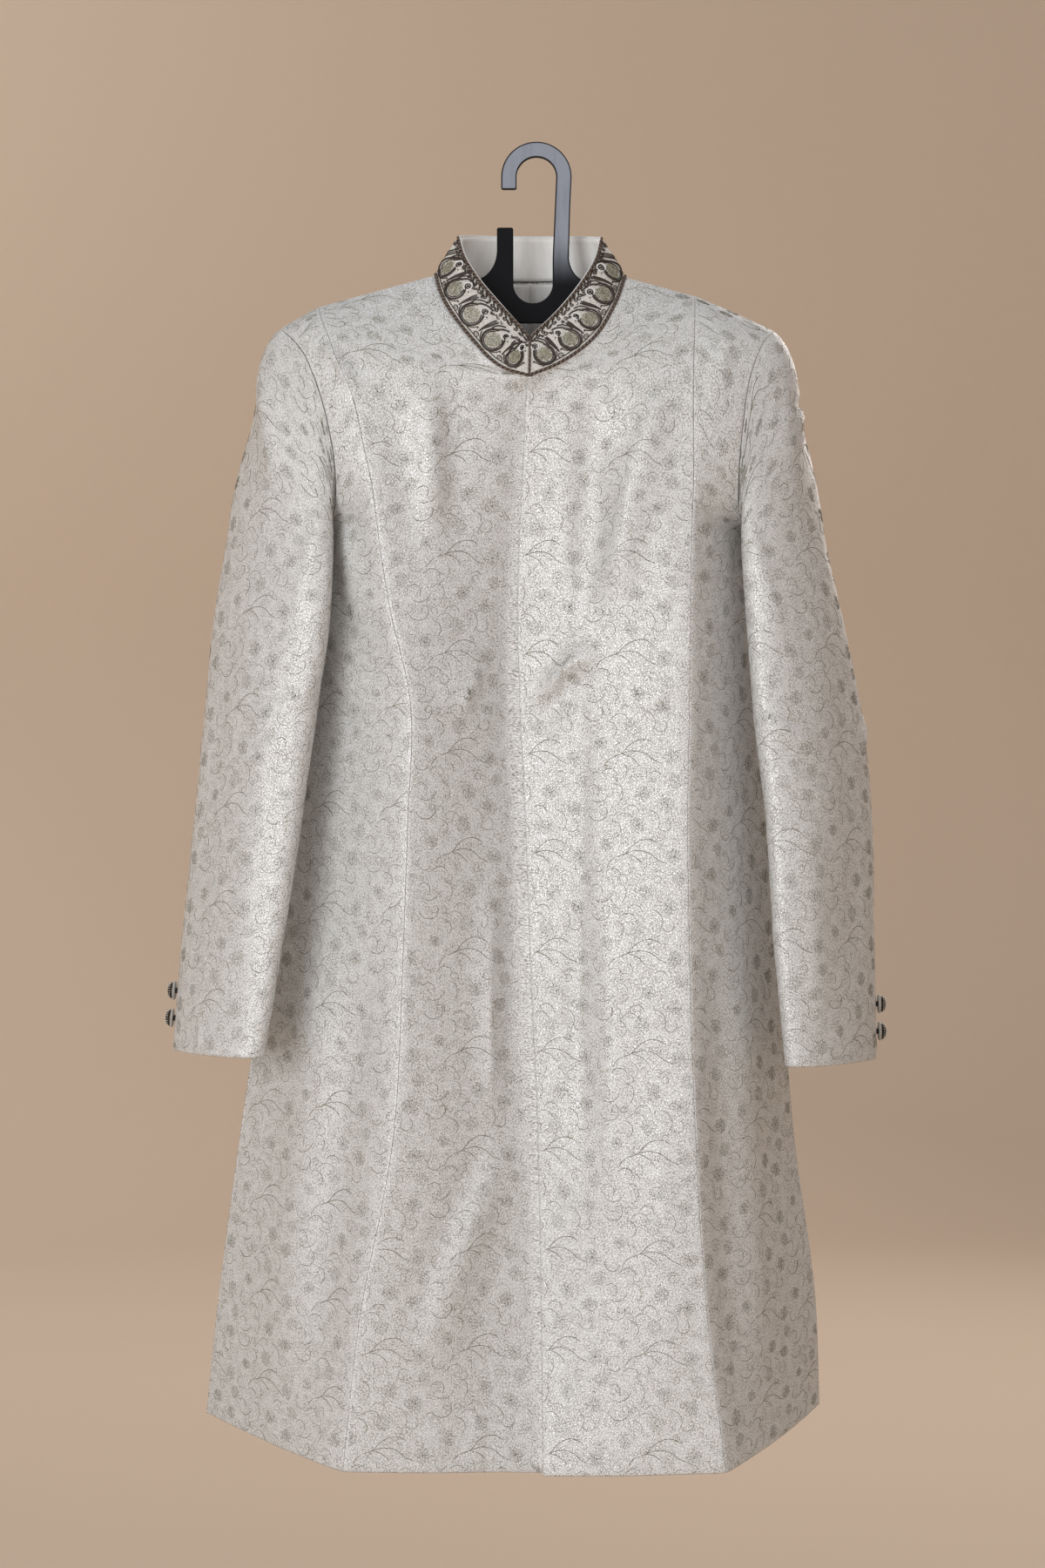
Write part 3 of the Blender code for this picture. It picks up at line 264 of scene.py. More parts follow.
CREASES_BACK = [
    Crease("blade ridge right", [(-118, -250), (-110, -340), (-92, -440)], 20, 2.6, 0.0),
    Crease("blade ridge left", [(104, -240), (94, -330), (80, -430)], 20, 2.4, 0.0),
    Crease("nape break", [(-58, -150), (-6, -160), (44, -152)], 9, 1.8, 0.2),
    Crease("waist break right", [(-150, -470), (-100, -492), (-50, -484)], 9, 2.4, 0.2),
    Crease("waist break left", [(40, -496), (86, -480), (140, -490)], 9, 2.2, 0.2),
    Crease("seat hollow", [(-30, -560), (-34, -760), (-38, -1000)], 18, -2.6, 0.0),
    Crease("seat ridge left", [(48, -560), (56, -800), (66, -1120)], 18, 3.0, 0.0),
    Crease("seat ridge right", [(-96, -560), (-112, -800), (-128, -1120)], 20, 3.0, 0.0),
    Crease("underarm drag right", [(-186, -350), (-160, -420), (-140, -480)], 12, 2.4, 0.0),
    Crease("underarm drag left", [(176, -350), (152, -420), (130, -480)], 12, 2.4, 0.0),
    Crease("hem pucker right", [(-150, -1120), (-152, -1164)], 5, 1.5, 0.0),
    Crease("hem pucker left", [(104, -1124), (105, -1164)], 5, 1.4, 0.0),
]
# On a sleeve the path is (angle, z): 180 degrees is the inner front edge, 90 faces outwards
# to the front and 0 is the outer back edge.
SLEEVE_CREASES_RIGHT = [
    Crease("head fold", [(98, -192), (104, -240), (108, -300)], 8, 2.2, 0.3),
    Crease("head hollow", [(80, -200), (84, -260), (90, -320)], 9, -1.5, 0.0),
    Crease("inner drag", [(166, -300), (150, -360), (132, -430)], 9, 1.8, 0.0),
    Crease("elbow break", [(176, -470), (140, -500), (96, -512)], 7, 2.0, 0.3),
    Crease("elbow break low", [(172, -520), (136, -534), (104, -560)], 7, 1.6, 0.2),
    Crease("long ridge", [(128, -420), (122, -600), (126, -780)], 13, 1.4, 0.0),
    Crease("long hollow", [(78, -380), (70, -560), (76, -760)], 14, -1.4, 0.0),
    Crease("cuff crease", [(92, -764), (90, -812)], 4, 1.2, 0.0),
    Crease("back elbow break", [(262, -520), (300, -500), (340, -512)], 9, 2.2, 0.2),
    Crease("back drag", [(320, -330), (300, -420), (290, -500)], 11, 2.0, 0.0),
]
SLEEVE_CREASES_LEFT = [
    Crease("head crease", [(140, -248), (100, -240), (48, -218)], 5, 2.4, 0.4),
    Crease("head crease low", [(128, -268), (96, -258), (66, -244)], 5, 1.8, 0.3),
    Crease("head hollow", [(112, -230), (80, -224), (56, -204)], 6, -1.6, 0.0),
    Crease("inner drag", [(168, -320), (150, -380), (140, -450)], 9, 1.8, 0.0),
    Crease("elbow break", [(178, -498), (142, -520), (98, -530)], 7, 2.2, 0.3),
    Crease("elbow break low", [(170, -548), (130, -566), (90, -590)], 7, 1.6, 0.2),
    Crease("outer elbow break", [(10, -500), (36, -524), (62, -536)], 7, 1.8, 0.2),
    Crease("long ridge", [(132, -560), (126, -690), (128, -800)], 12, 1.5, 0.0),
    Crease("long hollow", [(84, -400), (76, -580), (80, -780)], 14, -1.5, 0.0),
    Crease("back elbow break", [(266, -528), (304, -512), (340, -520)], 9, 2.2, 0.2),
    Crease("back drag", [(316, -340), (298, -430), (288, -510)], 11, 2.0, 0.0),
]
DRAPE = 1.5             # how strongly the creases show
DEGREE_MM = 0.85        # a degree round a sleeve
RIPPLE_HEIGHT = 0.55    # the cloth's slight unevenness
RIPPLE_LENGTH = 46.0

# How a sewn edge rolls in: (distance from the seam, share of the next column, depth).
SEAM_ROLL = [(0.5 * SEAM_GAP, 0.02, 0.65), (1.0, 0.30, 0.18), (2.4, 0.62, 0.0)]
HEM_ROLL = [(0.0, 0.0, 0.9), (1.0, 0.25, 0.22), (2.4, 0.60, 0.0)]
PRESSED_ROLL = [(0.5 * SEAM_GAP, 0.02, 0.30), (0.8, 0.30, 0.04), (2.2, 0.62, 0.0)]


# ---------------------------------------------------------------- curves and folds
def slopes(knots, values, corners):
    """Slope at each knot: weighted over both sides, one-sided at ends and corners."""
    spans = [(values[i + 1] - values[i]) / (knots[i + 1] - knots[i]) for i in range(len(values) - 1)]
    before, after = [], []
    for i in range(len(values)):
        left = spans[max(i - 1, 0)]
        right = spans[min(i, len(spans) - 1)]
        if i not in corners and 0 < i < len(values) - 1:
            near = knots[i] - knots[i - 1]
            far = knots[i + 1] - knots[i]
            left = right = (left * far + right * near) / (near + far)
        before.append(left)
        after.append(right)
    return before, after


def hermite(start, end, start_slope, end_slope, t):
    """Cubic from start to end; the slopes are for a unit of t."""
    t2 = t * t
    t3 = t2 * t
    return (start * (2 * t3 - 3 * t2 + 1) + start_slope * (t3 - 2 * t2 + t)
            + end * (3 * t2 - 2 * t3) + end_slope * (t3 - t2))


def through(points, steps, corners=()):
    """Points of a smooth curve through the given ones, steps[i] of them in span i."""
    points = [Vector(p) for p in points]
    knots = [0.0]
    for a, b in zip(points, points[1:]):
        knots.append(knots[-1] + max((b - a).length, 1e-6))
    before, after = slopes(knots, points, corners)
    curve = []
    for i, count in enumerate(steps[:len(points) - 1]):
        span = knots[i + 1] - knots[i]
        for k in range(count):
            curve.append(hermite(points[i], points[i + 1], after[i] * span,
                                 before[i + 1] * span, k / count))
    curve.append(points[-1])
    return curve


def equal_steps(lengths, count):
    """Where the ends of count equal steps fall: (number of the span, share of that span)."""
    i = 0
    for k in range(count + 1):
        want = lengths[-1] * k / count
        while i < len(lengths) - 2 and lengths[i + 1] < want:
            i += 1
        span = max(lengths[i + 1] - lengths[i], 1e-9)
        yield i, min(max((want - lengths[i]) / span, 0.0), 1.0)


def evenly(points, count):
    """A smooth curve through the points, cut into equal lengths."""
    fine = through(points, [12] * (len(points) - 1))
    return [fine[i].lerp(fine[i + 1], share) for i, share in equal_steps(running_lengths(fine), count)]


def running_lengths(points):
    lengths = [0.0]
    for a, b in zip(points, points[1:]):
        lengths.append(lengths[-1] + (b - a).length)
    return lengths


def level_index(levels, name):
    return [level.name for level in levels].index(name)


def row_index(levels, name, finer=1):
    return finer * sum(level.steps for level in levels[:level_index(levels, name)])


def smooth_step(value):
    value = min(max(value, 0.0), 1.0)
    return value * value * (3.0 - 2.0 * value)


def bump(distance, width):
    """Smooth hill, 1 in its middle and 0 beyond half the width."""
    reach = abs(distance) / (0.5 * width)
    return 0.0 if reach >= 1.0 else (1.0 - reach * reach) ** 2


def fold_height(folds, x, z):
    total = 0.0
    for fold in folds:
        dx = fold.x1 - fold.x0
        dz = fold.z1 - fold.z0
        length = math.hypot(dx, dz)
        along = ((x - fold.x0) * dx + (z - fold.z0) * dz) / length
        across = ((x - fold.x0) * dz - (z - fold.z0) * dx) / length
        middle = (along - 0.5 * length) / length
        total += fold.height * bump(across, 2.0 * fold.width) * bump(middle, FOLD_RUN)
    return total


class CreaseField:
    """The height that a list of creases adds at a point of their flat view."""

    END_FADE = 0.3      # share of a crease's length over which it comes and goes
    REACH = 2.6         # breadths from its path to where it is flat

    def __init__(self, creases, x_scale=1.0):
        self.lines = []
        for crease in creases:
            path = through([(x * x_scale, z, 0.0) for x, z in crease.path], [4] * (len(crease.path) - 1))
            room = self.REACH * crease.width
            box = (min(p.x for p in path) - room, max(p.x for p in path) + room,
                   min(p.y for p in path) - room, max(p.y for p in path) + room)
            self.lines.append((crease, path, running_lengths(path), box))

    def height(self, x, z):
        total = 0.0
        for crease, path, lengths, box in self.lines:
            if box[0] < x < box[1] and box[2] < z < box[3]:
                total += self.one(crease, path, lengths, x, z)
        return total

    def one(self, crease, path, lengths, x, z):
        best = None
        for i in range(len(path) - 1):
            a, b = path[i], path[i + 1]
            dx, dz = b.x - a.x, b.y - a.y
            length = lengths[i + 1] - lengths[i]
            share = min(max(((x - a.x) * dx + (z - a.y) * dz) / (length * length), 0.0), 1.0)
            gap = math.hypot(x - a.x - dx * share, z - a.y - dz * share)
            if best is None or gap < best[0]:
                side = 1.0 if (x - a.x) * dz - (z - a.y) * dx < 0.0 else -1.0
                best = (gap, (lengths[i] + share * length) / lengths[-1], side)
        gap, along, side = best
        width = crease.width * (1.0 + crease.lean * side)
        fade = smooth_step(along / self.END_FADE) * smooth_step((1.0 - along) / self.END_FADE)
        return DRAPE * crease.height * fade * math.exp(-((gap / width) ** 2))


def ripple(point, seed):
    place = Vector((point.x / RIPPLE_LENGTH, point.y / RIPPLE_LENGTH + seed, 0.6 * point.z / RIPPLE_LENGTH))
    return RIPPLE_HEIGHT * (noise.noise(place) + 0.5 * noise.noise(place * 2.3))


# ---------------------------------------------------------------- grids of cloth
def across_along(grid, r, c, wraps=False):
    """Steps to the neighbouring points: along the row, and up the column."""
    rows, columns = len(grid), len(grid[0])
    along = grid[min(r + 1, rows - 1)][c] - grid[max(r - 1, 0)][c]
    if wraps:
        return grid[r][(c + 1) % columns] - grid[r][c - 1], along
    return grid[r][min(c + 1, columns - 1)] - grid[r][max(c - 1, 0)], along


def normals(grid, flip, wraps=False):
    """Unit normals of a grid from its neighbours; flip turns them to the other side."""
    result = []
    for r in range(len(grid)):
        line = []
        for c in range(len(grid[0])):
            across, along = across_along(grid, r, c, wraps)
            line.append(across.cross(along).normalized() * (-1 if flip else 1))
        result.append(line)
    return result


def raised(grid, outward, height):
    """The grid moved out by height(point, r, c)."""
    return [[point + n * height(point, r, c) for c, (point, n) in enumerate(zip(row, line))]
            for r, (row, line) in enumerate(zip(grid, outward))]


def round_ridge(row, corner):
    """Turns the row's corner into a short curve."""
    before = (row[corner] - row[corner - 1]).normalized()
    after = (row[corner + 1] - row[corner]).normalized()
    lengths = running_lengths(row)
    for k, point in enumerate(row):
        gap = abs(lengths[k] - lengths[corner])
        if gap < RIDGE_ROUND:
            point += (after - before) * (RIDGE_ROUND - gap) ** 2 / (4.0 * RIDGE_ROUND)


def front_grid(levels, folds, finer=1, front_finer=1, side_finer=1):
    """Rows from the closing edge over the princess seam to the side seam."""
    steps = [level.steps * finer for level in levels]
    neck = level_index(levels, NECK_CORNER)
    armpit = level_index(levels, ARMPIT_CORNER)
    centre = through([level.centre for level in levels], steps, (neck,))
    ridge = through([level.ridge for level in levels], steps)
    side = through([level.side for level in levels], steps, (armpit,))
    front_count = FRONT_COLUMNS * front_finer
    side_count = SIDE_COLUMNS * side_finer
    grid = []
    for c, r, s in zip(centre, ridge, side):
        row = [c.lerp(r, k / front_count) for k in range(front_count)]
        for k in range(side_count + 1):
            t = k / side_count
            across = s - r
            outward = Vector((across.y, -across.x, 0.0)).normalized() * (1 if across.x > 0 else -1)
            bow = SIDE_BOW * 4 * t * (1 - t) * min(1.0, across.length / WIDE_SIDE)
            row.append(r.lerp(s, t) + outward * bow)
        for k, point in enumerate(row):
            column = k / front_finer
            easing = min(1.0, column / 2.0) * min(1.0, max(0.0, (FRONT_COLUMNS - column) / 2.0))
            point.y -= fold_height(folds, point.x, point.z) * easing
        if front_finer > 1:
            round_ridge(row, front_count)
        grid.append(row)
    return grid


def back_grid(levels, folds, finer=1, back_finer=1):
    """Rows from the centre back seam over the shoulder blade to the side seam."""
    steps = [level.steps * finer for level in levels]
    neck = level_index(levels, NECK_CORNER)
    armpit = level_index(levels, ARMPIT_CORNER)
    centre = through([level.centre for level in levels], steps, (neck,))
    blade = through([level.ridge for level in levels], steps)
    side = through([level.side for level in levels], steps, (armpit,))
    top = len(centre) - 1
    bend_end = row_index(levels, "high collar", finer)
    half = BACK_COLUMNS * back_finer
    grid = []
    for r, (c, b, s) in enumerate(zip(centre, blade, side)):
        curved = through([c, b, s], [half, half])
        straight = [c.lerp(b, k / half) for k in range(half)]
        straight += [b.lerp(s, k / half) for k in range(half + 1)]
        ease = max(0.0, (r - bend_end) / (top - bend_end))
        row = [p.lerp(q, ease) for p, q in zip(curved, straight)]
        for k, point in enumerate(row):
            column = k / back_finer
            easing = min(1.0, column) * min(1.0, (2 * BACK_COLUMNS - column) / 2.0)
            point.y += fold_height(folds, point.x, point.z) * easing
        grid.append(row)
    return grid


# ---------------------------------------------------------------- sleeves
def ring_axes(ring, is_right):
    """Middle of a flat oval ring, with its half length and half thickness as vectors."""
    sign = -1.0 if is_right else 1.0
    turn = math.radians(ring.turn)
    half_width = 0.5 * abs(ring.outer - ring.inner)
    half_thick = 0.5 * ring.thick
    half_long = math.sqrt(half_width ** 2 - (half_thick * math.sin(turn)) ** 2) / math.cos(turn)
    long_way = Vector((sign * math.cos(turn), math.sin(turn), 0.0)) * half_long
    thick_way = Vector((sign * math.sin(turn), -math.cos(turn), 0.0)) * half_thick
    return Vector((0.5 * (ring.outer + ring.inner), ring.middle_y, ring.z)), long_way, thick_way


def sleeve_ring(ring, is_right, angles):
    """Points of the ring at the given angles from its outer back edge."""
    middle, long_way, thick_way = ring_axes(ring, is_right)
    return [middle + long_way * math.cos(a) + thick_way * math.sin(a) for a in angles]


def loop_angles(points, crown):
    """Angle of each armhole point: -90 deg at the armpit, 180 at the front, 90 at the crown."""
    lengths = running_lengths(points + points[:1])
    front_length = lengths[crown]
    back_length = lengths[-1] - front_length
    angles = []
    for i in range(len(points)):
        if i <= crown:
            angles.append(math.radians(270.0 - 180.0 * lengths[i] / front_length))
        else:
            angles.append(math.radians(90.0 - 180.0 * (lengths[i] - front_length) / back_length))
    return angles


def cap_spring(angle):
    """The sleeve head's spring at an angle of the armhole, between those of its quarters."""
    quarter = CAP_SPRING["crown" if math.sin(angle) > 0 else "armpit"]
    side = CAP_SPRING["back" if math.cos(angle) > 0 else "front"]
    share = math.sin(angle) ** 2
    return Spring(*(a * share + b * (1.0 - share) for a, b in zip(quarter, side)))


def sleeve_grid(rings, edge, crown, is_right, finer=1):
    """Rings from the cuff up, then the sleeve head up to the armhole; and the columns' angles."""
    sign = -1.0 if is_right else 1.0
    angles = loop_angles(edge, crown)
    stations = [sleeve_ring(ring, is_right, angles) for ring in rings]
    coarse_steps = [ring.steps for ring in rings]
    steps = [count * finer for count in coarse_steps]
    columns = []
    for i, high in enumerate(edge):
        path = [station[i] for station in stations]
        column = through(path, steps)
        low = column[-1]
        length = (high - low).length
        leave = (low - through(path, coarse_steps)[-2]).normalized() * CAP_HANG * length
        spring = cap_spring(angles[i])
        arrive = Vector((-sign * spring.inwards, 0.0, spring.up)) * length
        count = CAP_ROWS * finer
        column += [hermite(low, high, leave, arrive, k / count) for k in range(1, count + 1)]
        columns.append(column)
    return [list(row) for row in zip(*columns)], angles


def armhole_edge(front, back, armpit, skip=1):
    """The armhole's points: up the front from the armpit, over the tip, down the back."""
    rows = list(range(armpit, len(front), skip))
    if rows[-1] != len(front) - 1:
        rows[-1] = len(front) - 1
    up = [front[r][-1] for r in rows]
    down = [back[r][-1] for r in rows[-2:0:-1]]
    return up + down, len(up) - 1


# ---------------------------------------------------------------- cloth faces
class Spot:
    """A point of a cloth's face: its place, the way it faces, and its flat place in mm."""

    __slots__ = ("point", "outward", "across", "along")

    def __init__(self, point, outward, across, along):
        self.point = point
        self.outward = outward
        self.across = across
        self.along = along

    def toward(self, other, share, sink=0.0):
        outward = self.outward.lerp(other.outward, share).normalized()
        point = self.point.lerp(other.point, share) - outward * sink
        return Spot(point, outward, self.across + (other.across - self.across) * share,
                    self.along + (other.along - self.along) * share)

    def sunk(self, depth):
        return Spot(self.point - self.outward * depth, self.outward, self.across, self.along)


def spots_of(grid, outward, grain, flip, base=0, starts=None):
    """Spots of a grid; along is measured up the grain column, across from the base column."""
    levels = running_lengths([row[grain] for row in grid])
    sign = -1.0 if flip else 1.0
    spots = []
    for r, (row, line) in enumerate(zip(grid, outward)):
        lengths = running_lengths(row)
        start = (starts[r] if starts else 0.0) - lengths[base]
        spots.append([Spot(p, n, sign * (start + length), levels[r])
                      for p, n, length in zip(row, line, lengths)])
    return spots


def rolled_end(line, roll):
    if not roll:
        return [line[0]]
    step = max((line[1].point - line[0].point).length, 1e-6)
    return [line[0].toward(line[1], min(mark / step, share), sink) for mark, share, sink in roll]


def rolled(line, first, last):
    return rolled_end(line, first) + line[1:-1] + rolled_end(line[::-1], last)[::-1]


def panel(spots, sides=(SEAM_ROLL, SEAM_ROLL), ends=(HEM_ROLL, SEAM_ROLL)):
    """A piece's spots with its sewn and turned edges rolled in."""
    rows = [rolled(row, *sides) for row in spots]
    columns = [rolled(list(column), *ends) for column in zip(*rows)]
    return [list(row) for row in zip(*columns)]


def columns_of(grid, first, last):
    """Columns first to last; last may run past the end of a tube's rows."""
    count = len(grid[0])
    return [[row[c % count] for c in range(first, last + 1)] for row in grid]


class Surface:
    """Finds the point of a piece of cloth at a flat place in mm."""

    EDGE = 1.2      # thread stops this far from an edge

    def __init__(self, spots):
        falling = spots[0][-1].across < spots[0][0].across
        self.rows = [row[::-1] if falling else row for row in spots]
        self.levels = [row[len(row) // 2].along for row in self.rows]
        self.places = [[spot.across for spot in row] for row in self.rows]

    def span(self):
        """Lowest and highest flat place: across, then along."""
        return (min(row[0] for row in self.places), max(row[-1] for row in self.places),
                self.levels[0], self.levels[-1])

    def on_row(self, r, across):
        places = self.places[r]
        if not places[0] + self.EDGE < across < places[-1] - self.EDGE:
            return None
        i = bisect_right(places, across) - 1
        share = (across - places[i]) / (places[i + 1] - places[i])
        a, b = self.rows[r][i], self.rows[r][i + 1]
        return a.point.lerp(b.point, share), a.outward.lerp(b.outward, share)

    def at(self, across, along):
        """Point and outward direction, or None off the piece."""
        if not self.levels[0] + self.EDGE < along < self.levels[-1] - self.EDGE:
            return None
        r = bisect_right(self.levels, along) - 1
        share = (along - self.levels[r]) / (self.levels[r + 1] - self.levels[r])
        low = self.on_row(r, across)
        high = self.on_row(r + 1, across)
        if not low or not high:
            return None
        return low[0].lerp(high[0], share), low[1].lerp(high[1], share).normalized()


# ---------------------------------------------------------------- the coat's outer faces
SIDES = ("right", "left")
LEVELS = {"right": (FRONT_RIGHT, BACK_RIGHT), "left": (FRONT_LEFT, BACK_LEFT)}
FOLDS = {"right": FOLDS_RIGHT, "left": FOLDS_LEFT}
RINGS = {"right": SLEEVE_RIGHT, "left": SLEEVE_LEFT}
COLLAR_TOPS = {"right": COLLAR_TOP_RIGHT, "left": COLLAR_TOP_LEFT}
SLIT_SIDE = {"right": -0.5, "left": 0.5}
PRINCESS = FRONT_COLUMNS * FRONT_FINER
NECK = row_index(FRONT_RIGHT, NECK_CORNER, ROWS_FINER)
ARMPIT = row_index(FRONT_RIGHT, ARMPIT_CORNER, ROWS_FINER)
EDGE_DIP = 22.0         # breadth over which the right front dips under the left one
COLLAR_ROWS = 10
LINING_BELOW_SEAM = 5.0
LINING_COLUMNS = 3


def eased(r, c, rows, columns):
    """Dies out towards the shoulder, the neckline, the side seam and the armhole."""
    ease = smooth_step((rows - 1 - r) / 6.0) * smooth_step((columns - 1 - c) / 3.0)
    near_neck = smooth_step((r - NECK + 6) / 6.0)
    return ease * (1.0 - near_neck * (1.0 - smooth_step(c / 3.0)))


def body_spots(side, is_front, field, seed):
    """Half the front or back as spots, with its creases and unevenness."""
    flip = (side == "right") == is_front
    if is_front:
        grid = front_grid(LEVELS[side][0], FOLDS[side], ROWS_FINER, FRONT_FINER, SIDE_FINER)
        grain = PRINCESS // 2
    else:
        grid = back_grid(LEVELS[side][1], FOLDS_BACK, ROWS_FINER, BACK_FINER)
        grain = BACK_COLUMNS * BACK_FINER
    rows, columns = len(grid), len(grid[0])

    def height(point, r, c):
        flat_seam = 1.0 if is_front else smooth_step(c / 3.0)
        rise = field.height(point.x, point.z) + ripple(point, seed)
        return eased(r, c, rows, columns) * flat_seam * rise

    grid = raised(grid, normals(grid, flip), height)
    seam_x = grid[NECK][0].x
    starts = [abs(row[0].x - seam_x) if r > NECK else 0.0 for r, row in enumerate(grid)]
    return spots_of(grid, normals(grid, flip), grain, flip, 0, starts)


class Coat:
    """The coat's outer faces, worked out once for all pieces."""

    def __init__(self):
        field = CreaseField(CREASES_RIGHT + CREASES_LEFT)
        back_field = CreaseField(CREASES_BACK)
        self.front = {side: body_spots(side, True, field, 1.0) for side in SIDES}
        self.back = {side: body_spots(side, False, back_field, 9.0) for side in SIDES}
        self.sink_right_edge()
        self.sleeve = {side: self.sleeve_parts(side) for side in SIDES}
        self.collar = self.collar_spots()

    def sink_right_edge(self):
        """Sinks the right front's edge below the left one and carries it on under it."""
        depth = CLOTH + LAYER_GAP
        right, left = self.front["right"], self.front["left"]
        for r in range(NECK):
            fade = smooth_step((NECK - r) / 5.0)
            for c in range(PRINCESS):
                dip = 1.0 - smooth_step(abs(right[r][c].across) / EDGE_DIP)
                right[r][c] = right[r][c].sunk(depth * fade * dip)
        width = UNDERLAP_COLUMNS * FRONT_FINER
        self.underlap = []
        for r in range(NECK):
            row = [left[r][k].sunk(depth + 0.1) for k in range(width, 0, -1)]
            for spot in row:
                spot.point.z += HEM_STEP * (1.0 - smooth_step(r / ROWS_FINER))
            self.underlap.append(row + [right[r][0]])

    def sleeve_parts(self, side):
        """The top and under sleeve as spots, cut apart at the front and back seams."""
        is_right = side == "right"
        front = [[spot.point for spot in row] for row in self.front[side]]
        back = [[spot.point for spot in row] for row in self.back[side]]
        edge, crown = armhole_edge(front, back, ARMPIT, SLEEVE_SKIP)
        grid, angles = sleeve_grid(RINGS[side], edge, crown, is_right, ROWS_FINER)
        field = CreaseField(SLEEVE_CREASES_RIGHT if is_right else SLEEVE_CREASES_LEFT, DEGREE_MM)
        degrees = [math.degrees(a) % 360.0 * DEGREE_MM for a in angles]

        def height(point, r, c):
            ease = smooth_step((len(grid) - 1 - r) / 5.0)
            return ease * (field.height(degrees[c], point.z) + ripple(point, 4.0))

        grid = raised(grid, normals(grid, is_right, True), height)
        outward = normals(grid, is_right, True)
        count = len(edge)
        first = min(range(crown), key=lambda i: abs(angles[i] - FRONT_SEAM_ANGLE))
        last = min(range(crown, count), key=lambda i: abs(angles[i] - BACK_SEAM_ANGLE))
        parts = {}
        for name, start, end in (("top", first, last), ("under", last, first + count)):
            cut, facing = columns_of(grid, start, end), columns_of(outward, start, end)
            middle = (end - start) // 2
            parts[name] = spots_of(cut, facing, middle, is_right, middle)
        return parts

    def collar_spots(self):
        """The standing collar from its right front end round the back to its left front end."""
        low, top = {}, {}
        for side in SIDES:
            front, back = self.front[side], self.back[side]
            end = len(front) - 1
            low[side] = [front[r][0].point.copy() for r in range(NECK, end + 1)]
            low[side] += [back[r][0].point.copy() for r in range(end - 1, NECK - 1, -1)]
            points = [Vector((edge.x, edge.y, edge.z)) for edge in COLLAR_TOPS[side]]
            corner = [edge.name for edge in COLLAR_TOPS[side]].index("corner")
            top[side] = evenly(points[:corner + 1], end - NECK) + evenly(points[corner:], end - NECK)[1:]
            low[side][0].x += SLIT_SIDE[side] * COLLAR_SLIT
            top[side][0].x += SLIT_SIDE[side] * COLLAR_SLIT
        low = low["right"] + low["left"][::-1][1:]
        top = top["right"] + top["left"][::-1][1:]
        grid = [[a.lerp(b, k / COLLAR_ROWS) for a, b in zip(low, top)] for k in range(COLLAR_ROWS + 1)]

        def bow(point, r, c):
            return COLLAR_BOW * 4 * (r / COLLAR_ROWS) * (1 - r / COLLAR_ROWS)

        grid = raised(grid, normals(grid, True), bow)
        for c in range(len(low)):
            grid[0][c] += (grid[1][c] - grid[0][c]).normalized() * LAYER_GAP
        outward = normals(grid, True)
        lengths = running_lengths(grid[COLLAR_ROWS // 2])
        spots = []
        for r, (row, line) in enumerate(zip(grid, outward)):
            spots.append([Spot(p, n, lengths[c], (p - grid[0][c]).length)
                          for c, (p, n) in enumerate(zip(row, line))])
        return spots

    def button_place(self, side, z):
        """Point beside the cuff's back seam at this height, and the way that it faces there."""
        spots = self.sleeve[side]["top"]
        column = len(spots[0]) - 1 - BUTTON_COLUMNS_IN
        for low, high in zip(spots, spots[1:]):
            if low[column].point.z <= z <= high[column].point.z:
                share = (z - low[column].point.z) / (high[column].point.z - low[column].point.z)
                return low[column].point.lerp(high[column].point, share), low[column].outward
        raise ValueError("no cuff at z = %.0f mm" % z)


@lru_cache(maxsize=None)
def coat():
    return Coat()


# ---------------------------------------------------------------- mesh helpers
def new_object(name, mesh, finishes):
    obj = bpy.data.objects.new(name, mesh)
    bpy.context.scene.collection.objects.link(obj)
    for finish in finishes:
        obj.data.materials.append(finish)
    return obj


def finished_mesh(shape, name, smooth_angle=50.0):
    mesh = bpy.data.meshes.new(name)
    shape.to_mesh(mesh)
    shape.free()
    mesh.shade_smooth()
    mesh.set_sharp_from_angle(angle=math.radians(smooth_angle))
    return mesh


def grid_verts(shape, columns, rows):
    """A flat grid of new vertices, as rows of columns, ready to be moved into place."""
    made = bmesh.ops.create_grid(shape, x_segments=columns - 1, y_segments=rows - 1, size=1.0)["verts"]
    table = [[None] * columns for _ in range(rows)]
    for vert in made:
        c = round((vert.co.x + 1.0) * 0.5 * (columns - 1))
        r = round((vert.co.y + 1.0) * 0.5 * (rows - 1))
        table[r][c] = vert
    return table


def turned(profile, scale, steps, merge):
    """A shape turned round the Z axis from its profile of (radius, height)."""
    shape = bmesh.new()
    line = [shape.verts.new((x * scale, 0.0, z * scale)) for x, z in profile]
    edges = [shape.edges.new(pair) for pair in zip(line, line[1:])]
    bmesh.ops.spin(shape, geom=line + edges, cent=(0, 0, 0), axis=(0, 0, 1), angle=2.0 * math.pi,
                   steps=steps, use_merge=True, use_duplicate=False)
    bmesh.ops.remove_doubles(shape, verts=shape.verts, dist=merge)
    bmesh.ops.recalc_face_normals(shape, faces=shape.faces)
    return shape


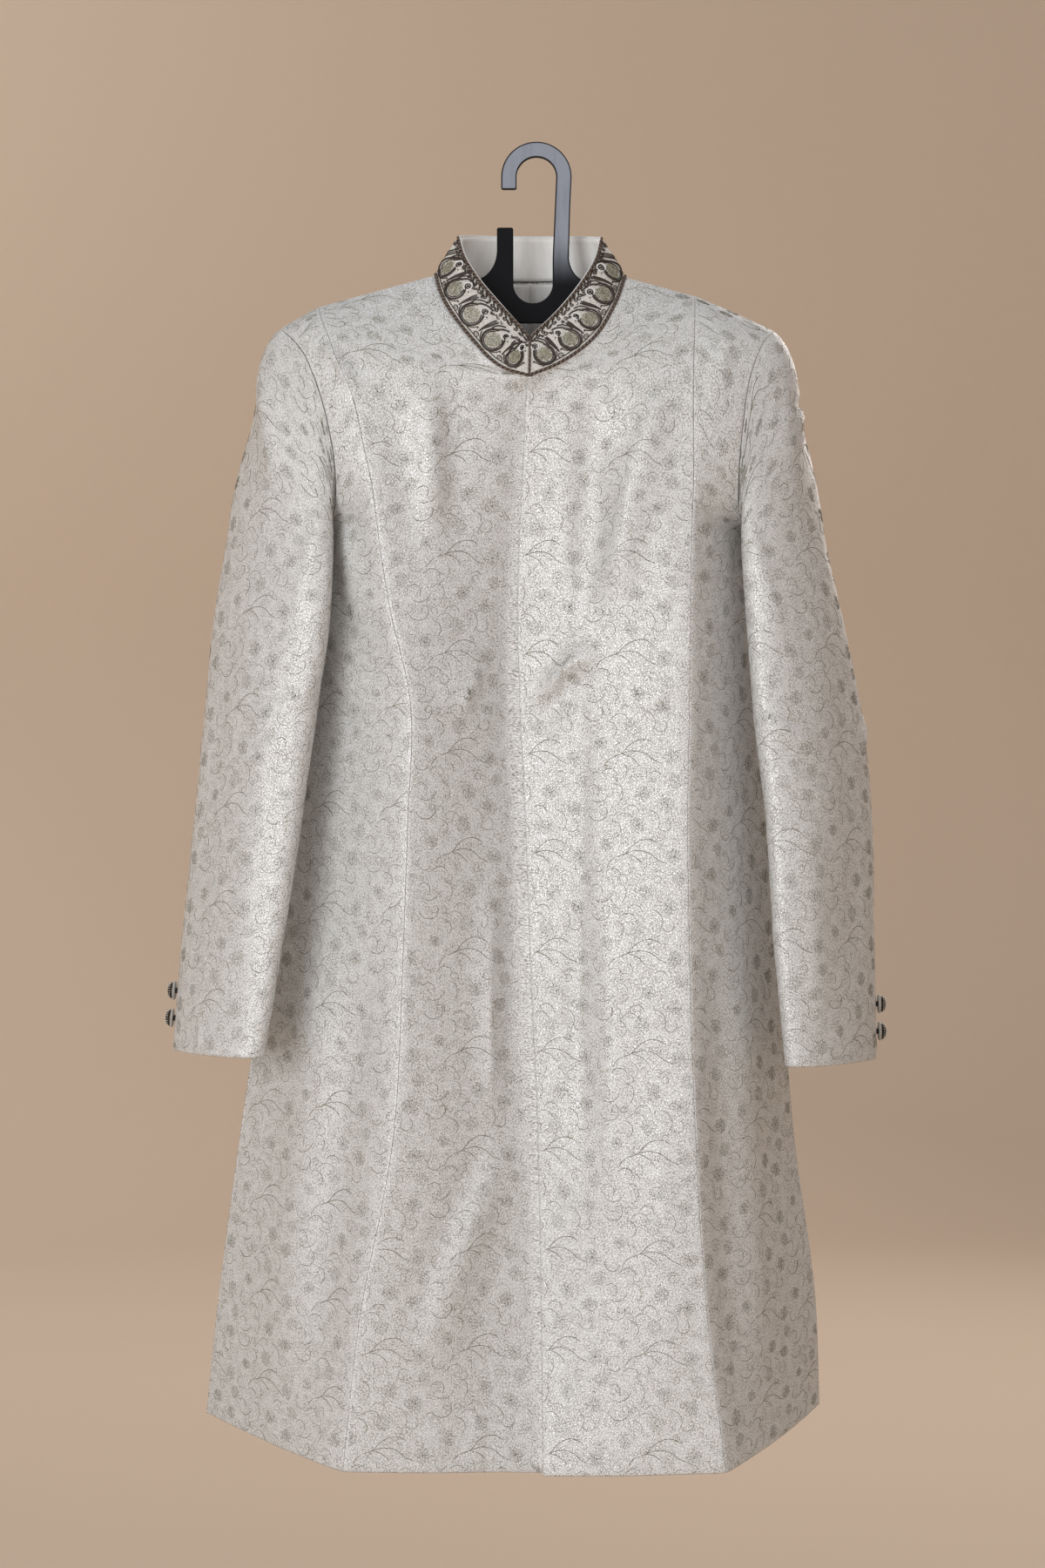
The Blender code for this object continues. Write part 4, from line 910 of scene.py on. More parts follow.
def spread_cloth(shape, spots):
    """Adds a piece's face to the mesh, with its flat places in metres as the UV map."""
    uv = shape.loops.layers.uv.verify()
    first = len(shape.faces)
    table = grid_verts(shape, len(spots[0]), len(spots))
    flat = {}
    for row, verts in zip(spots, table):
        for spot, vert in zip(row, verts):
            vert.co = spot.point * MM
            flat[vert] = (spot.across * MM, spot.along * MM)
    shape.faces.ensure_lookup_table()
    faces = shape.faces[first:]
    for face in faces:
        for loop in face.loops:
            loop[uv].uv = flat[loop.vert]
    middle = spots[len(spots) // 2][len(spots[0]) // 2]
    probe = next(face for face in faces if table[len(spots) // 2][len(spots[0]) // 2] in face.verts)
    probe.normal_update()
    if probe.normal.dot(middle.outward) < 0.0:
        bmesh.ops.reverse_faces(shape, faces=faces)


def cloth_piece(name, grids, finishes, thickness):
    """A shell of cloth from its outer face inwards; the last finish is its inside."""
    shape = bmesh.new()
    for spots in grids:
        spread_cloth(shape, spots)
    bmesh.ops.remove_doubles(shape, verts=shape.verts, dist=0.02 * MM)
    obj = new_object(name, finished_mesh(shape, name, 60.0), finishes)
    wall = obj.modifiers.new("thickness", "SOLIDIFY")
    wall.thickness = thickness * MM
    wall.offset = -1.0
    wall.material_offset = len(finishes) - 1
    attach(obj, BODY)
    return obj


# ---------------------------------------------------------------- embroidery
THREAD_WIDTH = 0.85
THREAD_CREST = 0.27     # height of a thread's raised middle
THREAD_STEP = 2.0       # longest straight run of a thread, in mm
PETAL_WIDTH = 0.44      # these widths are shares of the thread's
PETAL_STROKE_WIDTH = 1.5
CENTRE_WIDTH = 1.05
BRANCH_WIDTH = 0.78
SCROLL_WIDTH = 0.7
SPIRAL_WIDTH = 0.6
REPEAT = 88.7           # the pattern's repeat, both ways

Flower = namedtuple("Flower", "kind x y radius petals turn")
FLOWERS = [
    Flower("bold", 18, -35, 7.2, 8, 10), Flower("bold", 41, -47, 7.0, 8, 30),
    Flower("leafy", 44, -4, 7.4, 8, 0), Flower("dark", -19, 10, 5.8, 7, 15),
    Flower("pale", 11, 24, 7.4, 8, 5), Flower("pale", 49, -24, 6.4, 8, 12),
]
BRANCHES = [
    [(-9, -3), (0, 0), (8, 8), (17, 12.5), (26, 12), (32, 8)],
    [(0, 0), (8, 2.5), (16, 2.5), (23, 0), (29, -5), (38, -9)],
    [(0, 0), (6.5, -1.5), (12, -5), (16, -10)],
    [(-9, -3), (-14, -7), (-17, -12)],
]
SCROLLS = [
    [(-20, -18), (-14, -13), (-7, -14), (-4, -19)],
    [(-4, -44), (0, -36), (-2, -28), (-9, -26)],
    [(22, 40), (30, 36), (33, 28), (29, 20)],
    [(-34, 36), (-28, 30), (-20, 30), (-15, 35), (-16, 42)],
    [(0, 38), (5, 43), (12, 42), (15, 36)],
    [(-8, -58), (-2, -53), (6, -54), (10, -60)],
    [(-34, -30), (-27, -27), (-22, -31), (-23, -38)],
    [(-30, -4), (-33, -9), (-30, -15), (-24, -16), (-20, -12)],
    [(31, 24), (35, 20), (41, 21), (43, 26), (40, 31)],
    [(-8, 14), (-3, 20), (-5, 27), (-12, 30)],
    [(2, -8), (5, -14), (3, -20)],
    [(24, -18), (30, -15), (36, -18)],
    [(-12, -34), (-16, -40), (-24, -43), (-31, -40)],
]
SPIRALS = [(-3, -22, 5.5), (29, -22, 4.5), (-18, -50, 5.0), (26, 14, 4.0), (-10, 38, 4.5), (34, 42, 4.0)]
CENTRE_STROKES = {"bold": 8, "leafy": 8, "dark": 7, "pale": 4}
# Where the pattern's branch starts on each outer piece: across and along, in mm.
PATTERN_START = {
    "front_right": (-64.0, 818.0), "front_left": (6.5, 818.0),
    "side_right": (-30.0, 771.0), "side_left": (52.0, 846.0),
    "back_right": (40.0, 800.0), "back_left": (-52.0, 768.0),
    "top_sleeve_right": (-12.0, 402.0), "top_sleeve_left": (14.0, 376.0),
    "under_sleeve_right": (-8.0, 360.0), "under_sleeve_left": (10.0, 390.0),
}
PLAIN_THREAD, PALE_THREAD, CENTRE_THREAD, LIGHT_THREAD = range(4)

Strand = namedtuple("Strand", "path finish width")


def petal_path(flower, number, chance):
    angle = math.radians(flower.turn + 360.0 * number / flower.petals + chance.uniform(-7, 7))
    width = 0.78 * math.pi / flower.petals
    radius = flower.radius * chance.uniform(0.85, 1.1)
    loop = [(0.30, -0.05), (0.74, -1.0), (1.0, 0.1), (0.72, 1.0), (0.32, 0.05)]
    return [(flower.x + reach * radius * math.cos(angle + turn * width),
             flower.y + reach * radius * math.sin(angle + turn * width)) for reach, turn in loop]


def stroke_path(flower, angle, first, last):
    """A straight stroke from the flower's middle outwards, between two shares of its radius."""
    u, v = flower.radius * math.cos(angle), flower.radius * math.sin(angle)
    return [(flower.x + first * u, flower.y + first * v), (flower.x + last * u, flower.y + last * v)]


def spiral_path(x, y, radius, chance):
    turn = chance.uniform(0.0, 6.28)
    path = []
    for k in range(9):
        reach = radius * (1.0 - 0.085 * k)
        angle = turn + 0.72 * k
        path.append((x + reach * math.cos(angle), y + reach * math.sin(angle)))
    return path


def repeat_strands(chance):
    """The threads of one repeat of the pattern, each one worked by hand a little unevenly."""
    strands = []
    for flower in FLOWERS:
        shift = (chance.uniform(-1.2, 1.2), chance.uniform(-1.2, 1.2))
        flower = flower._replace(x=flower.x + shift[0], y=flower.y + shift[1])
        finish = PALE_THREAD if flower.kind == "pale" else PLAIN_THREAD
        for number in range(flower.petals):
            strands.append(Strand(petal_path(flower, number, chance), finish, PETAL_WIDTH))
            angle = math.radians(flower.turn + 360.0 * number / flower.petals + chance.uniform(-6, 6))
            path = stroke_path(flower, angle, 0.42, 0.94)
            strands.append(Strand(path, LIGHT_THREAD, PETAL_STROKE_WIDTH))
        count = CENTRE_STROKES[flower.kind]
        for number in range(count):
            angle = math.radians(flower.turn + 360.0 * (number + 0.5) / count + chance.uniform(-12, 12))
            path = stroke_path(flower, angle, 0.0, chance.uniform(0.32, 0.58))
            strands.append(Strand(path, CENTRE_THREAD, CENTRE_WIDTH))
    for path in BRANCHES:
        strands.append(Strand(path, PLAIN_THREAD, BRANCH_WIDTH))
    for number, path in enumerate(SCROLLS):
        finish = PLAIN_THREAD if number % 3 == 0 else PALE_THREAD
        strands.append(Strand(path, finish, SCROLL_WIDTH))
    for x, y, radius in SPIRALS:
        strands.append(Strand(spiral_path(x, y, radius, chance), PALE_THREAD, SPIRAL_WIDTH))
    return strands


def rounded(path):
    """The path as a smooth line, with points no further apart than a thread's step."""
    if len(path) == 2:
        return path
    steps = [max(1, round(math.dist(a, b) / (1.6 * THREAD_STEP))) for a, b in zip(path, path[1:])]
    return [(p.x, p.y) for p in through([(x, y, 0.0) for x, y in path], steps)]


def laid(path, surface):
    """The parts of a flat path that lie on the piece, as lists of (point, outward)."""
    runs, run = [], []
    for across, along in path:
        spot = surface.at(across, along)
        if spot:
            run.append(spot)
        else:
            runs.append(run)
            run = []
    runs.append(run)
    return [run for run in runs if len(run) > 1]


def repeats(low, high):
    """Numbers of the pattern's repeats that may reach between two flat places."""
    return range(math.floor(low / REPEAT), math.ceil(high / REPEAT) + 1)


def thread_runs(surface, start, seed):
    """All threads that lie on a piece: (run, finish, width)."""
    low_x, high_x, low_y, high_y = surface.span()
    chance = random.Random(seed)
    found = []
    for i in repeats(low_x - start[0], high_x - start[0]):
        for j in repeats(low_y - start[1], high_y - start[1]):
            corner = (start[0] + i * REPEAT, start[1] + j * REPEAT)
            for strand in repeat_strands(chance):
                path = [(x + corner[0], y + corner[1]) for x, y in rounded(strand.path)]
                for run in laid(path, surface):
                    found.append((run, strand.finish, strand.width))
    return found


def thread_mesh(name, runs, finishes):
    """Flat threads with a raised middle, sewn on the cloth."""
    shape = bmesh.new()
    uv = shape.loops.layers.uv.verify()
    table = grid_verts(shape, 3, sum(len(run) for run, _, _ in runs))
    flat, row_of, finish_of, run_ends = {}, {}, [], set()
    for run, finish, width in runs:
        half = 0.5 * THREAD_WIDTH * width
        length = 0.0
        for k, (point, outward) in enumerate(run):
            ahead = run[min(k + 1, len(run) - 1)][0] - run[max(k - 1, 0)][0]
            across = ahead.cross(outward).normalized()
            length += (point - run[max(k - 1, 0)][0]).length
            taper = 0.4 if k in (0, len(run) - 1) else 1.0
            for vert, side in zip(table[len(finish_of)], (-1.0, 0.0, 1.0)):
                rise = THREAD_CREST * taper if side == 0.0 else -0.06
                vert.co = (point + across * (side * half * taper) + outward * rise) * MM
                flat[vert] = (length * MM, 0.5 + 0.5 * side)
                row_of[vert] = len(finish_of)
            finish_of.append(finish)
        run_ends.add(len(finish_of) - 1)
    between = []
    for face in shape.faces:
        row = min(row_of[vert] for vert in face.verts)
        face.material_index = finish_of[row]
        if row in run_ends:
            between.append(face)
    bmesh.ops.delete(shape, geom=between, context="FACES")
    for face in shape.faces:
        for loop in face.loops:
            loop[uv].uv = flat[loop.vert]
    obj = new_object(name, finished_mesh(shape, name, 180.0), finishes)
    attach(obj, BODY)
    return obj


# ---------------------------------------------------------------- cords and beads
CORD_SIDES = 6
CORD_TURN = 4.4         # length of a full turn of a twisted cord
BEAD = 0.78             # radius of the collar's beads


def square_ways(run, k):
    """Two directions square to a run of (point, outward) at its point k: sideways, then up."""
    ahead = (run[min(k + 1, len(run) - 1)][0] - run[max(k - 1, 0)][0]).normalized()
    side = ahead.cross(run[k][1]).normalized()
    return side, side.cross(ahead)


def helix(run, radius, turn, phase):
    """Points that wind round a run of (point, outward)."""
    points = []
    length = 0.0
    for k, (point, outward) in enumerate(run):
        side, up = square_ways(run, k)
        length += (point - run[max(k - 1, 0)][0]).length
        angle = 2.0 * math.pi * length / turn + phase
        around = side * (radius * math.cos(angle)) + up * (radius * math.sin(angle))
        points.append((point + around, outward))
    return points


def resampled(run, step):
    """The run with its points a step apart."""
    lengths = running_lengths([point for point, _ in run])
    result = []
    for i, share in equal_steps(lengths, max(2, round(lengths[-1] / step))):
        a, b = run[i], run[i + 1]
        result.append((a[0].lerp(b[0], share), a[1].lerp(b[1], share).normalized()))
    return result


def lifted(run, height):
    return [(point + outward * height, outward) for point, outward in run]


def add_tube(shape, run, radius, finish=0, sides=CORD_SIDES):
    """A round cord along a run of (point, outward), its middle on the run."""
    first = len(shape.faces)
    table = grid_verts(shape, sides + 1, len(run))
    for k, verts in enumerate(table):
        side, up = square_ways(run, k)
        for c, vert in enumerate(verts):
            angle = 2.0 * math.pi * c / sides
            around = side * (radius * math.cos(angle)) + up * (radius * math.sin(angle))
            vert.co = (run[k][0] + around) * MM
    shape.faces.ensure_lookup_table()
    for face in shape.faces[first:]:
        face.material_index = finish
    bmesh.ops.remove_doubles(shape, verts=[v for row in table for v in row], dist=0.004 * MM)


def add_twisted_cord(shape, run, radius, finishes):
    """Two strands wound round each other, each with its own finish."""
    fine = resampled(run, CORD_TURN / 8.0)
    for phase, finish in zip((0.0, math.pi), finishes):
        add_tube(shape, helix(fine, 0.55 * radius, CORD_TURN, phase), 0.62 * radius, finish)


def add_bead(shape, point, outward, radius, finish, flat=0.8):
    """A small faceted bead that sits on the cloth; flat is its height beside its width."""
    turn = outward.to_track_quat("Z", "Y").to_matrix().to_4x4()
    place = Matrix.Translation((point + outward * (0.55 * flat * radius)) * MM) @ turn
    place = place @ Matrix.Diagonal((1.0, 1.0, flat, 1.0))
    made = bmesh.ops.create_icosphere(shape, subdivisions=1, radius=radius * MM, matrix=place)
    for face in {f for vert in made["verts"] for f in vert.link_faces}:
        face.material_index = finish


# ---------------------------------------------------------------- collar trims
COLLAR_CORD, COLLAR_BEAD, COLLAR_GREEN, COLLAR_THREAD, COLLAR_SATIN, COLLAR_SEQUIN = range(6)
MOTIF_SPACING = 25.6
MOTIF_FIRST = 20.5
MOTIF_BODY = 9.6        # radius of a motif's beaded body
MOTIF_MIDDLE = 13.5     # its middle, above the collar seam
CURL_SPACING = 6.4      # of the small curls below the top edge
CURL_FIRST = 4.0
CURL_BELOW_TOP = 5.2
CURL_BEAD_BELOW_TOP = 3.2
BORDER_HEIGHT = 3.4     # of the thin line above the seam
TRIM_SIDES = 5
TRIM_LIFT = 0.3


class CollarPlan:
    """Draws on the collar: along the seam from a side's front end, and squarely up from it."""

    def __init__(self, surface):
        self.surface = surface
        self.length = surface.span()[1]

    def side_place(self, side, x, y):
        """A place counted from the side's own front end, as laid (point, outward) or None."""
        across = x if side == "right" else self.length - x
        seam = Surface.EDGE + 0.1
        steps = ((0, 0), (0.5, 0), (0, 0.5))
        foot, beside, above = (self.surface.at(across + u, seam + v) for u, v in steps)
        if not (foot and beside and above):
            return None
        ahead = (beside[0] - foot[0]).normalized()
        column = (above[0] - foot[0]).normalized()
        lean = ahead.dot(column)
        square = (column - ahead * lean).normalized()
        want = foot[0] + square * (y - seam)
        along = seam
        for _ in range(6):
            found = self.surface.at(across, along)
            if not found:
                return None
            miss = want - found[0]
            u, v = miss.dot(ahead), miss.dot(column)
            across += (u - lean * v) / (1.0 - lean * lean)
            along += (v - lean * u) / (1.0 - lean * lean)
        return self.surface.at(across, along)

    def top_place(self, side, x, below):
        """A place counted from the side's own front end and down from the top edge."""
        return self.surface.at(x if side == "right" else self.length - x, self.surface.span()[3] - below)

    def top_run(self, side, path):
        spots = [self.top_place(side, x, below) for x, below in path]
        return [spot for spot in spots if spot]

    def run(self, side, path, step=1.2):
        """The longest part of a path that lies on the collar, with its points a step apart."""
        points = [(p.x, p.y) for p in through([(x, y, 0.0) for x, y in path], [6] * (len(path) - 1))]
        best, run = [], []
        for x, y in points:
            spot = self.side_place(side, x, y)
            run = run + [spot] if spot else []
            best = max(best, run, key=len)
        return resampled(best, step) if len(best) > 1 else []


def circle_path(x, y, rx, ry, start=0.0, end=360.0, count=16, tilt=0.0):
    path = []
    for k in range(count + 1):
        a = math.radians(start + (end - start) * k / count)
        u, v = rx * math.cos(a), ry * math.sin(a)
        c, s = math.cos(math.radians(tilt)), math.sin(math.radians(tilt))
        path.append((x + u * c - v * s, y + u * s + v * c))
    return path


def motif_lines(x):
    """The corded lines of one motif whose middle is at x: (path, finish, radius, height)."""
    y = MOTIF_MIDDLE
    lines = [(circle_path(x, y, MOTIF_BODY, MOTIF_BODY + 0.6, 118, 425), COLLAR_CORD, 0.95, 0.45)]
    lines.append((circle_path(x, y, MOTIF_BODY - 1.7, MOTIF_BODY - 1.2, 125, 412), COLLAR_CORD, 0.5, 0.35))
    tip = [(x + 4.7, y + 9.0), (x + 2.5, y + 13.0), (x - 2.5, y + 16.0), (x - 8.0, y + 17.0)]
    lines.append((tip, COLLAR_CORD, 0.75, 0.45))
    inner = [(x + 8.9, y + 4.0), (x + 8.6, y + 10.5), (x + 5.0, y + 15.0), (x + 0.5, y + 17.2)]
    lines.append((inner, COLLAR_CORD, 0.65, 0.4))
    lines.append((circle_path(x - 4.6, y + 10.8, 3.7, 3.7), COLLAR_SATIN, 0.75, 0.45))
    lines.append((circle_path(x - 4.6, y + 10.8, 2.3, 2.3, count=10), COLLAR_CORD, 0.45, 0.35))
    for shift in (0.0, 2.4):
        leaf = [(x + 9.8 + shift, y + 14.0), (x + 10.8 + shift, y + 8.0),
                (x + 12.2 + 0.6 * shift, y + 2.0), (x + 13.4, y - 4.5)]
        lines.append((leaf, COLLAR_CORD, 0.62, 0.4))
    middle = [(x + 11.2, y + 13.0), (x + 12.2, y + 7.0), (x + 13.2, y + 0.5)]
    lines.append((middle, COLLAR_THREAD, 0.5, 0.35))
    scallop = circle_path(x, y + 0.4, MOTIF_BODY + 2.6, MOTIF_BODY + 1.6, 196, 344, 10)
    lines.append((scallop, COLLAR_THREAD, 0.5, 0.3))
    for across, up, size in ((12.8, -8.0, 1.9), (14.0, 17.0, 1.5), (8.6, 16.6, 1.2)):
        ring = circle_path(x + across, y + up, 1.3 * size, size, count=9, tilt=20.0)
        lines.append((ring, COLLAR_CORD, 0.45, 0.3))
    for turn in (0.0, 1.0, 2.0):
        stroke = [(x - 9.5 + 2.2 * turn, y + 13.6 - 1.2 * turn),
                  (x - 12.2 + 2.0 * turn, y + 16.6 - 0.4 * turn)]
        lines.append((stroke, COLLAR_THREAD, 0.5, 0.3))
    return lines


def motif_beads(x, chance):
    """Beads of one motif: (across, up, radius, finish)."""
    y = MOTIF_MIDDLE
    beads = []
    reach = MOTIF_BODY - 2.5
    rows = math.ceil(reach / 1.45)
    for i in range(-rows, rows + 1):
        for j in range(-rows, rows + 1):
            u = 1.58 * (i + 0.5 * (j % 2)) + chance.uniform(-0.25, 0.25)
            v = 1.38 * j + chance.uniform(-0.25, 0.25)
            if math.hypot(u, v) < reach:
                finish = COLLAR_GREEN if chance.random() < 0.5 else COLLAR_BEAD
                beads.append((x + u, y + v, BEAD * chance.uniform(0.85, 1.1), finish))
    for k in range(10):
        t = k / 9.0
        beads.append((x + 6.7 - 6.5 * t * t, y + 7.0 + 8.2 * t, 0.7, COLLAR_BEAD))
        beads.append((x + 13.4 - 0.6 * t, y + 12.0 - 14.0 * t, 0.55, COLLAR_GREEN))
    beads.append((x - 4.6, y + 10.8, 1.25, COLLAR_SEQUIN))
    beads += [(x + 12.8, y - 8.0, 1.1, COLLAR_BEAD), (x - 12.6, y - 3.4, 0.8, COLLAR_SEQUIN)]
    beads += [(x + 14.0, y + 17.0, 0.9, COLLAR_BEAD), (x + 8.6, y + 16.6, 0.7, COLLAR_SEQUIN)]
    beads += [(x - 8.4, y + 13.0, 0.8, COLLAR_SEQUIN), (x - 9.8, y + 8.6, 0.75, COLLAR_SEQUIN)]
    return beads


def collar_work(shape, plan, chance):
    """All cords and beads of both halves of the collar."""
    half = 0.5 * plan.length
    for side in SIDES:
        count = int((half - MOTIF_FIRST + 0.5 * MOTIF_SPACING) / MOTIF_SPACING)
        spacing = (half - MOTIF_FIRST) / (count - 0.5)
        for number in range(count):
            x = MOTIF_FIRST + spacing * number
            for path, finish, radius, height in motif_lines(x):
                run = plan.run(side, path)
                if len(run) > 2:
                    add_tube(shape, lifted(run, height), radius, finish, sides=TRIM_SIDES)
            for across, up, radius, finish in motif_beads(x, chance):
                spot = plan.side_place(side, across, up)
                if spot:
                    add_bead(shape, spot[0], spot[1], radius, finish)
        border = plan.run(side, [(x, BORDER_HEIGHT) for x in (2.0, 0.3 * half, 0.6 * half, half - 0.5)])
        add_tube(shape, lifted(border, TRIM_LIFT), 0.5, COLLAR_THREAD, sides=TRIM_SIDES)
        for number in range(int((half - CURL_FIRST) / CURL_SPACING)):
            x = CURL_FIRST + CURL_SPACING * number
            for radius, width, finish in ((2.9, 0.6, COLLAR_CORD), (1.5, 0.45, COLLAR_THREAD)):
                path = circle_path(x, CURL_BELOW_TOP, radius, radius, 20, 290, 9, 25.0 * (number % 3))
                curl = plan.top_run(side, path)
                if len(curl) > 2:
                    add_tube(shape, lifted(curl, TRIM_LIFT), width, finish, sides=TRIM_SIDES)
            spot = plan.top_place(side, x + 0.5 * CURL_SPACING, CURL_BEAD_BELOW_TOP)
            if spot:
                add_bead(shape, spot[0], spot[1], 0.85, COLLAR_BEAD if number % 2 else COLLAR_SEQUIN)


# ---------------------------------------------------------------- buttons and hanger
BUTTON_DIAMETER = 17.0
BUTTON_DOME_SHARE = 0.92    # of the button's radius
BUTTON_DOME = 5.7       # its height above the rim
BUTTON_RIM = 1.5
BUTTON_SHANK = 2.5
BUTTON_LIFT = 1.8
BUTTON_BASE = 1.1       # the cloth-covered part below the metal
BUTTON_HEIGHTS = {"right": (-757.0, -782.0), "left": (-769.0, -794.0)}
BUTTON_COLUMNS_IN = 1
BUTTON_METAL, BUTTON_CLOTH, BUTTON_SILVER = range(3)
# Rings of grains on the dome: how many, share of its radius, and a grain's radius.
BUTTON_GRAINS = [(28, 1.0, 0.62), (20, 0.88, 0.62), (15, 0.66, 0.66), (10, 0.42, 0.66), (5, 0.20, 0.62)]

PLATE = 4.0
HOOK_INNER = 17.8
HOOK_WIDTH = 14.2
HOOK_TIP_DROP = 11.4
STEM_LEAN = 2.6
STEM_END_Z = -91.0
SLOT_X = (-20.9, 14.6)
SLOT_BOTTOM_Z = -132.0
PRONG_X = (-35.8, -20.9)
PRONG_TOP_Z = -63.5
PRONG_END_Z = -84.0
BODY_BOTTOM_X = (-19.0, 11.0)
BODY_BOTTOM_Z = -150.0
CORNER = 2.0
STEM_FLARE = [(30.4, -104.0), (41.0, -111.0), (54.0, -116.0)]
PRONG_FLARE = [(-36.3, -102.0), (-51.0, -110.0), (-64.0, -115.0)]
ARM_START = 4.0
ARM_BELOW_NECK = 8.2
ARM_BELOW_CLOTH = 4.1
ARM_SHORT = 24.0
ARM_TIP_HEIGHT = 26.0
ARM_TIP_CORNER = 7.0


def arc(x, z, radius, start, end, steps=8):
    return [(x + radius * math.cos(math.radians(start + (end - start) * k / steps)),
             z + radius * math.sin(math.radians(start + (end - start) * k / steps)))
            for k in range(steps + 1)]


def bend(start, corner, end, steps=8):
    """Quadratic curve from start to end, drawn towards the corner."""
    points = []
    for k in range(steps + 1):
        t = k / steps
        points.append(tuple((1 - t) ** 2 * a + 2 * t * (1 - t) * b + t * t * c
                            for a, b, c in zip(start, corner, end)))
    return points


def arm_outline(levels, sign):
    """Top and bottom edge of one arm, from the neck out to its tip and back to the middle."""
    neck, ridge, tip = levels[-1].centre, levels[-1].ridge, levels[-1].side

    def below_shoulder(x, drop):
        return x, ridge[2] + (tip[2] - ridge[2]) * (x - ridge[0]) / (tip[0] - ridge[0]) - drop

    end_x = tip[0] - sign * ARM_SHORT
    corner_x = end_x - sign * ARM_TIP_CORNER
    upper = below_shoulder(end_x, ARM_BELOW_CLOTH)
    lower = below_shoulder(end_x, ARM_TIP_HEIGHT)
    outline = [(neck[0] + sign * ARM_START, neck[2] - ARM_BELOW_NECK)]
    outline += [below_shoulder(ridge[0], ARM_BELOW_CLOTH)]
    outline += bend(below_shoulder(corner_x, ARM_BELOW_CLOTH), upper, (end_x, upper[1] - ARM_TIP_CORNER))
    outline += bend((end_x, lower[1] + ARM_TIP_CORNER), lower, (corner_x, lower[1]))
    bottom_x = BODY_BOTTOM_X[1] if sign > 0 else BODY_BOTTOM_X[0]
    outline += bend((corner_x, lower[1]), (0.5 * end_x, BODY_BOTTOM_Z), (bottom_x, BODY_BOTTOM_Z))[1:]
    return outline


def hanger_outline():
    """The plate's outline: hook, stem, left arm, right arm, prong and slot."""
    outer = HOOK_INNER + HOOK_WIDTH
    tip_z = -HOOK_INNER - HOOK_TIP_DROP
    outline = arc(-outer + CORNER, tip_z + CORNER, CORNER, 270, 180, 5)
    outline += arc(0, -HOOK_INNER, outer, 180, 0, 40)
    outline += [(outer - 0.5 * STEM_LEAN, 0.5 * STEM_END_Z)]
    outline += bend((outer - STEM_LEAN, STEM_END_Z), STEM_FLARE[0], STEM_FLARE[1], 12)
    outline += [STEM_FLARE[2]]
    outline += arm_outline(FRONT_LEFT, 1)
    outline += arm_outline(FRONT_RIGHT, -1)[::-1]
    outline += [PRONG_FLARE[2]]
    outline += bend(PRONG_FLARE[1], PRONG_FLARE[0], (PRONG_X[0], PRONG_END_Z), 12)
    outline += arc(PRONG_X[0] + CORNER, PRONG_TOP_Z - CORNER, CORNER, 180, 90, 5)
    outline += arc(PRONG_X[1] - CORNER, PRONG_TOP_Z - CORNER, CORNER, 90, 0, 5)
    radius = 0.5 * (SLOT_X[1] - SLOT_X[0])
    middle = 0.5 * (SLOT_X[0] + SLOT_X[1])
    outline += arc(middle, SLOT_BOTTOM_Z + radius, radius, 180, 360, 28)
    outline += [(SLOT_X[1], STEM_END_Z)]
    outline += arc(0, -HOOK_INNER, HOOK_INNER, 0, 180, 32)
    outline += arc(-HOOK_INNER - CORNER, tip_z + CORNER, CORNER, 0, -90, 5)
    return outline


def hanger_mesh(edge_round):
    """The flat plate with rounded edges."""
    shape = bmesh.new()
    verts = [shape.verts.new((x * MM, -0.5 * PLATE * MM, z * MM)) for x, z in hanger_outline()]
    bmesh.ops.remove_doubles(shape, verts=verts, dist=0.02 * MM)
    shape.verts.ensure_lookup_table()
    face = shape.faces.new(shape.verts[:])
    made = bmesh.ops.extrude_face_region(shape, geom=[face])
    moved = [item for item in made["geom"] if isinstance(item, bmesh.types.BMVert)]
    bmesh.ops.translate(shape, vec=(0.0, PLATE * MM, 0.0), verts=moved)
    rims = [edge for edge in shape.edges if len({round(v.co.y, 5) for v in edge.verts}) == 1]
    bmesh.ops.bevel(shape, geom=rims, offset=edge_round, affect="EDGES", segments=3, profile=0.5,
                    material=-1)
    plates = [face for face in shape.faces if len(face.verts) > 4]
    bmesh.ops.inset_region(shape, faces=plates, thickness=0.9 * MM, use_even_offset=True)
    # The plate's faces inside the rim are marked to take the painted reflection; the rim is left without
    # it.
    painted_reflection = shape.verts.layers.float.new("painted_reflection")
    for face in plates:
        for vert in face.verts:
            vert[painted_reflection] = 1.0
    bmesh.ops.triangulate(shape, faces=plates)
    bmesh.ops.recalc_face_normals(shape, faces=shape.faces)
    return finished_mesh(shape, "hanger_plate", 40.0)


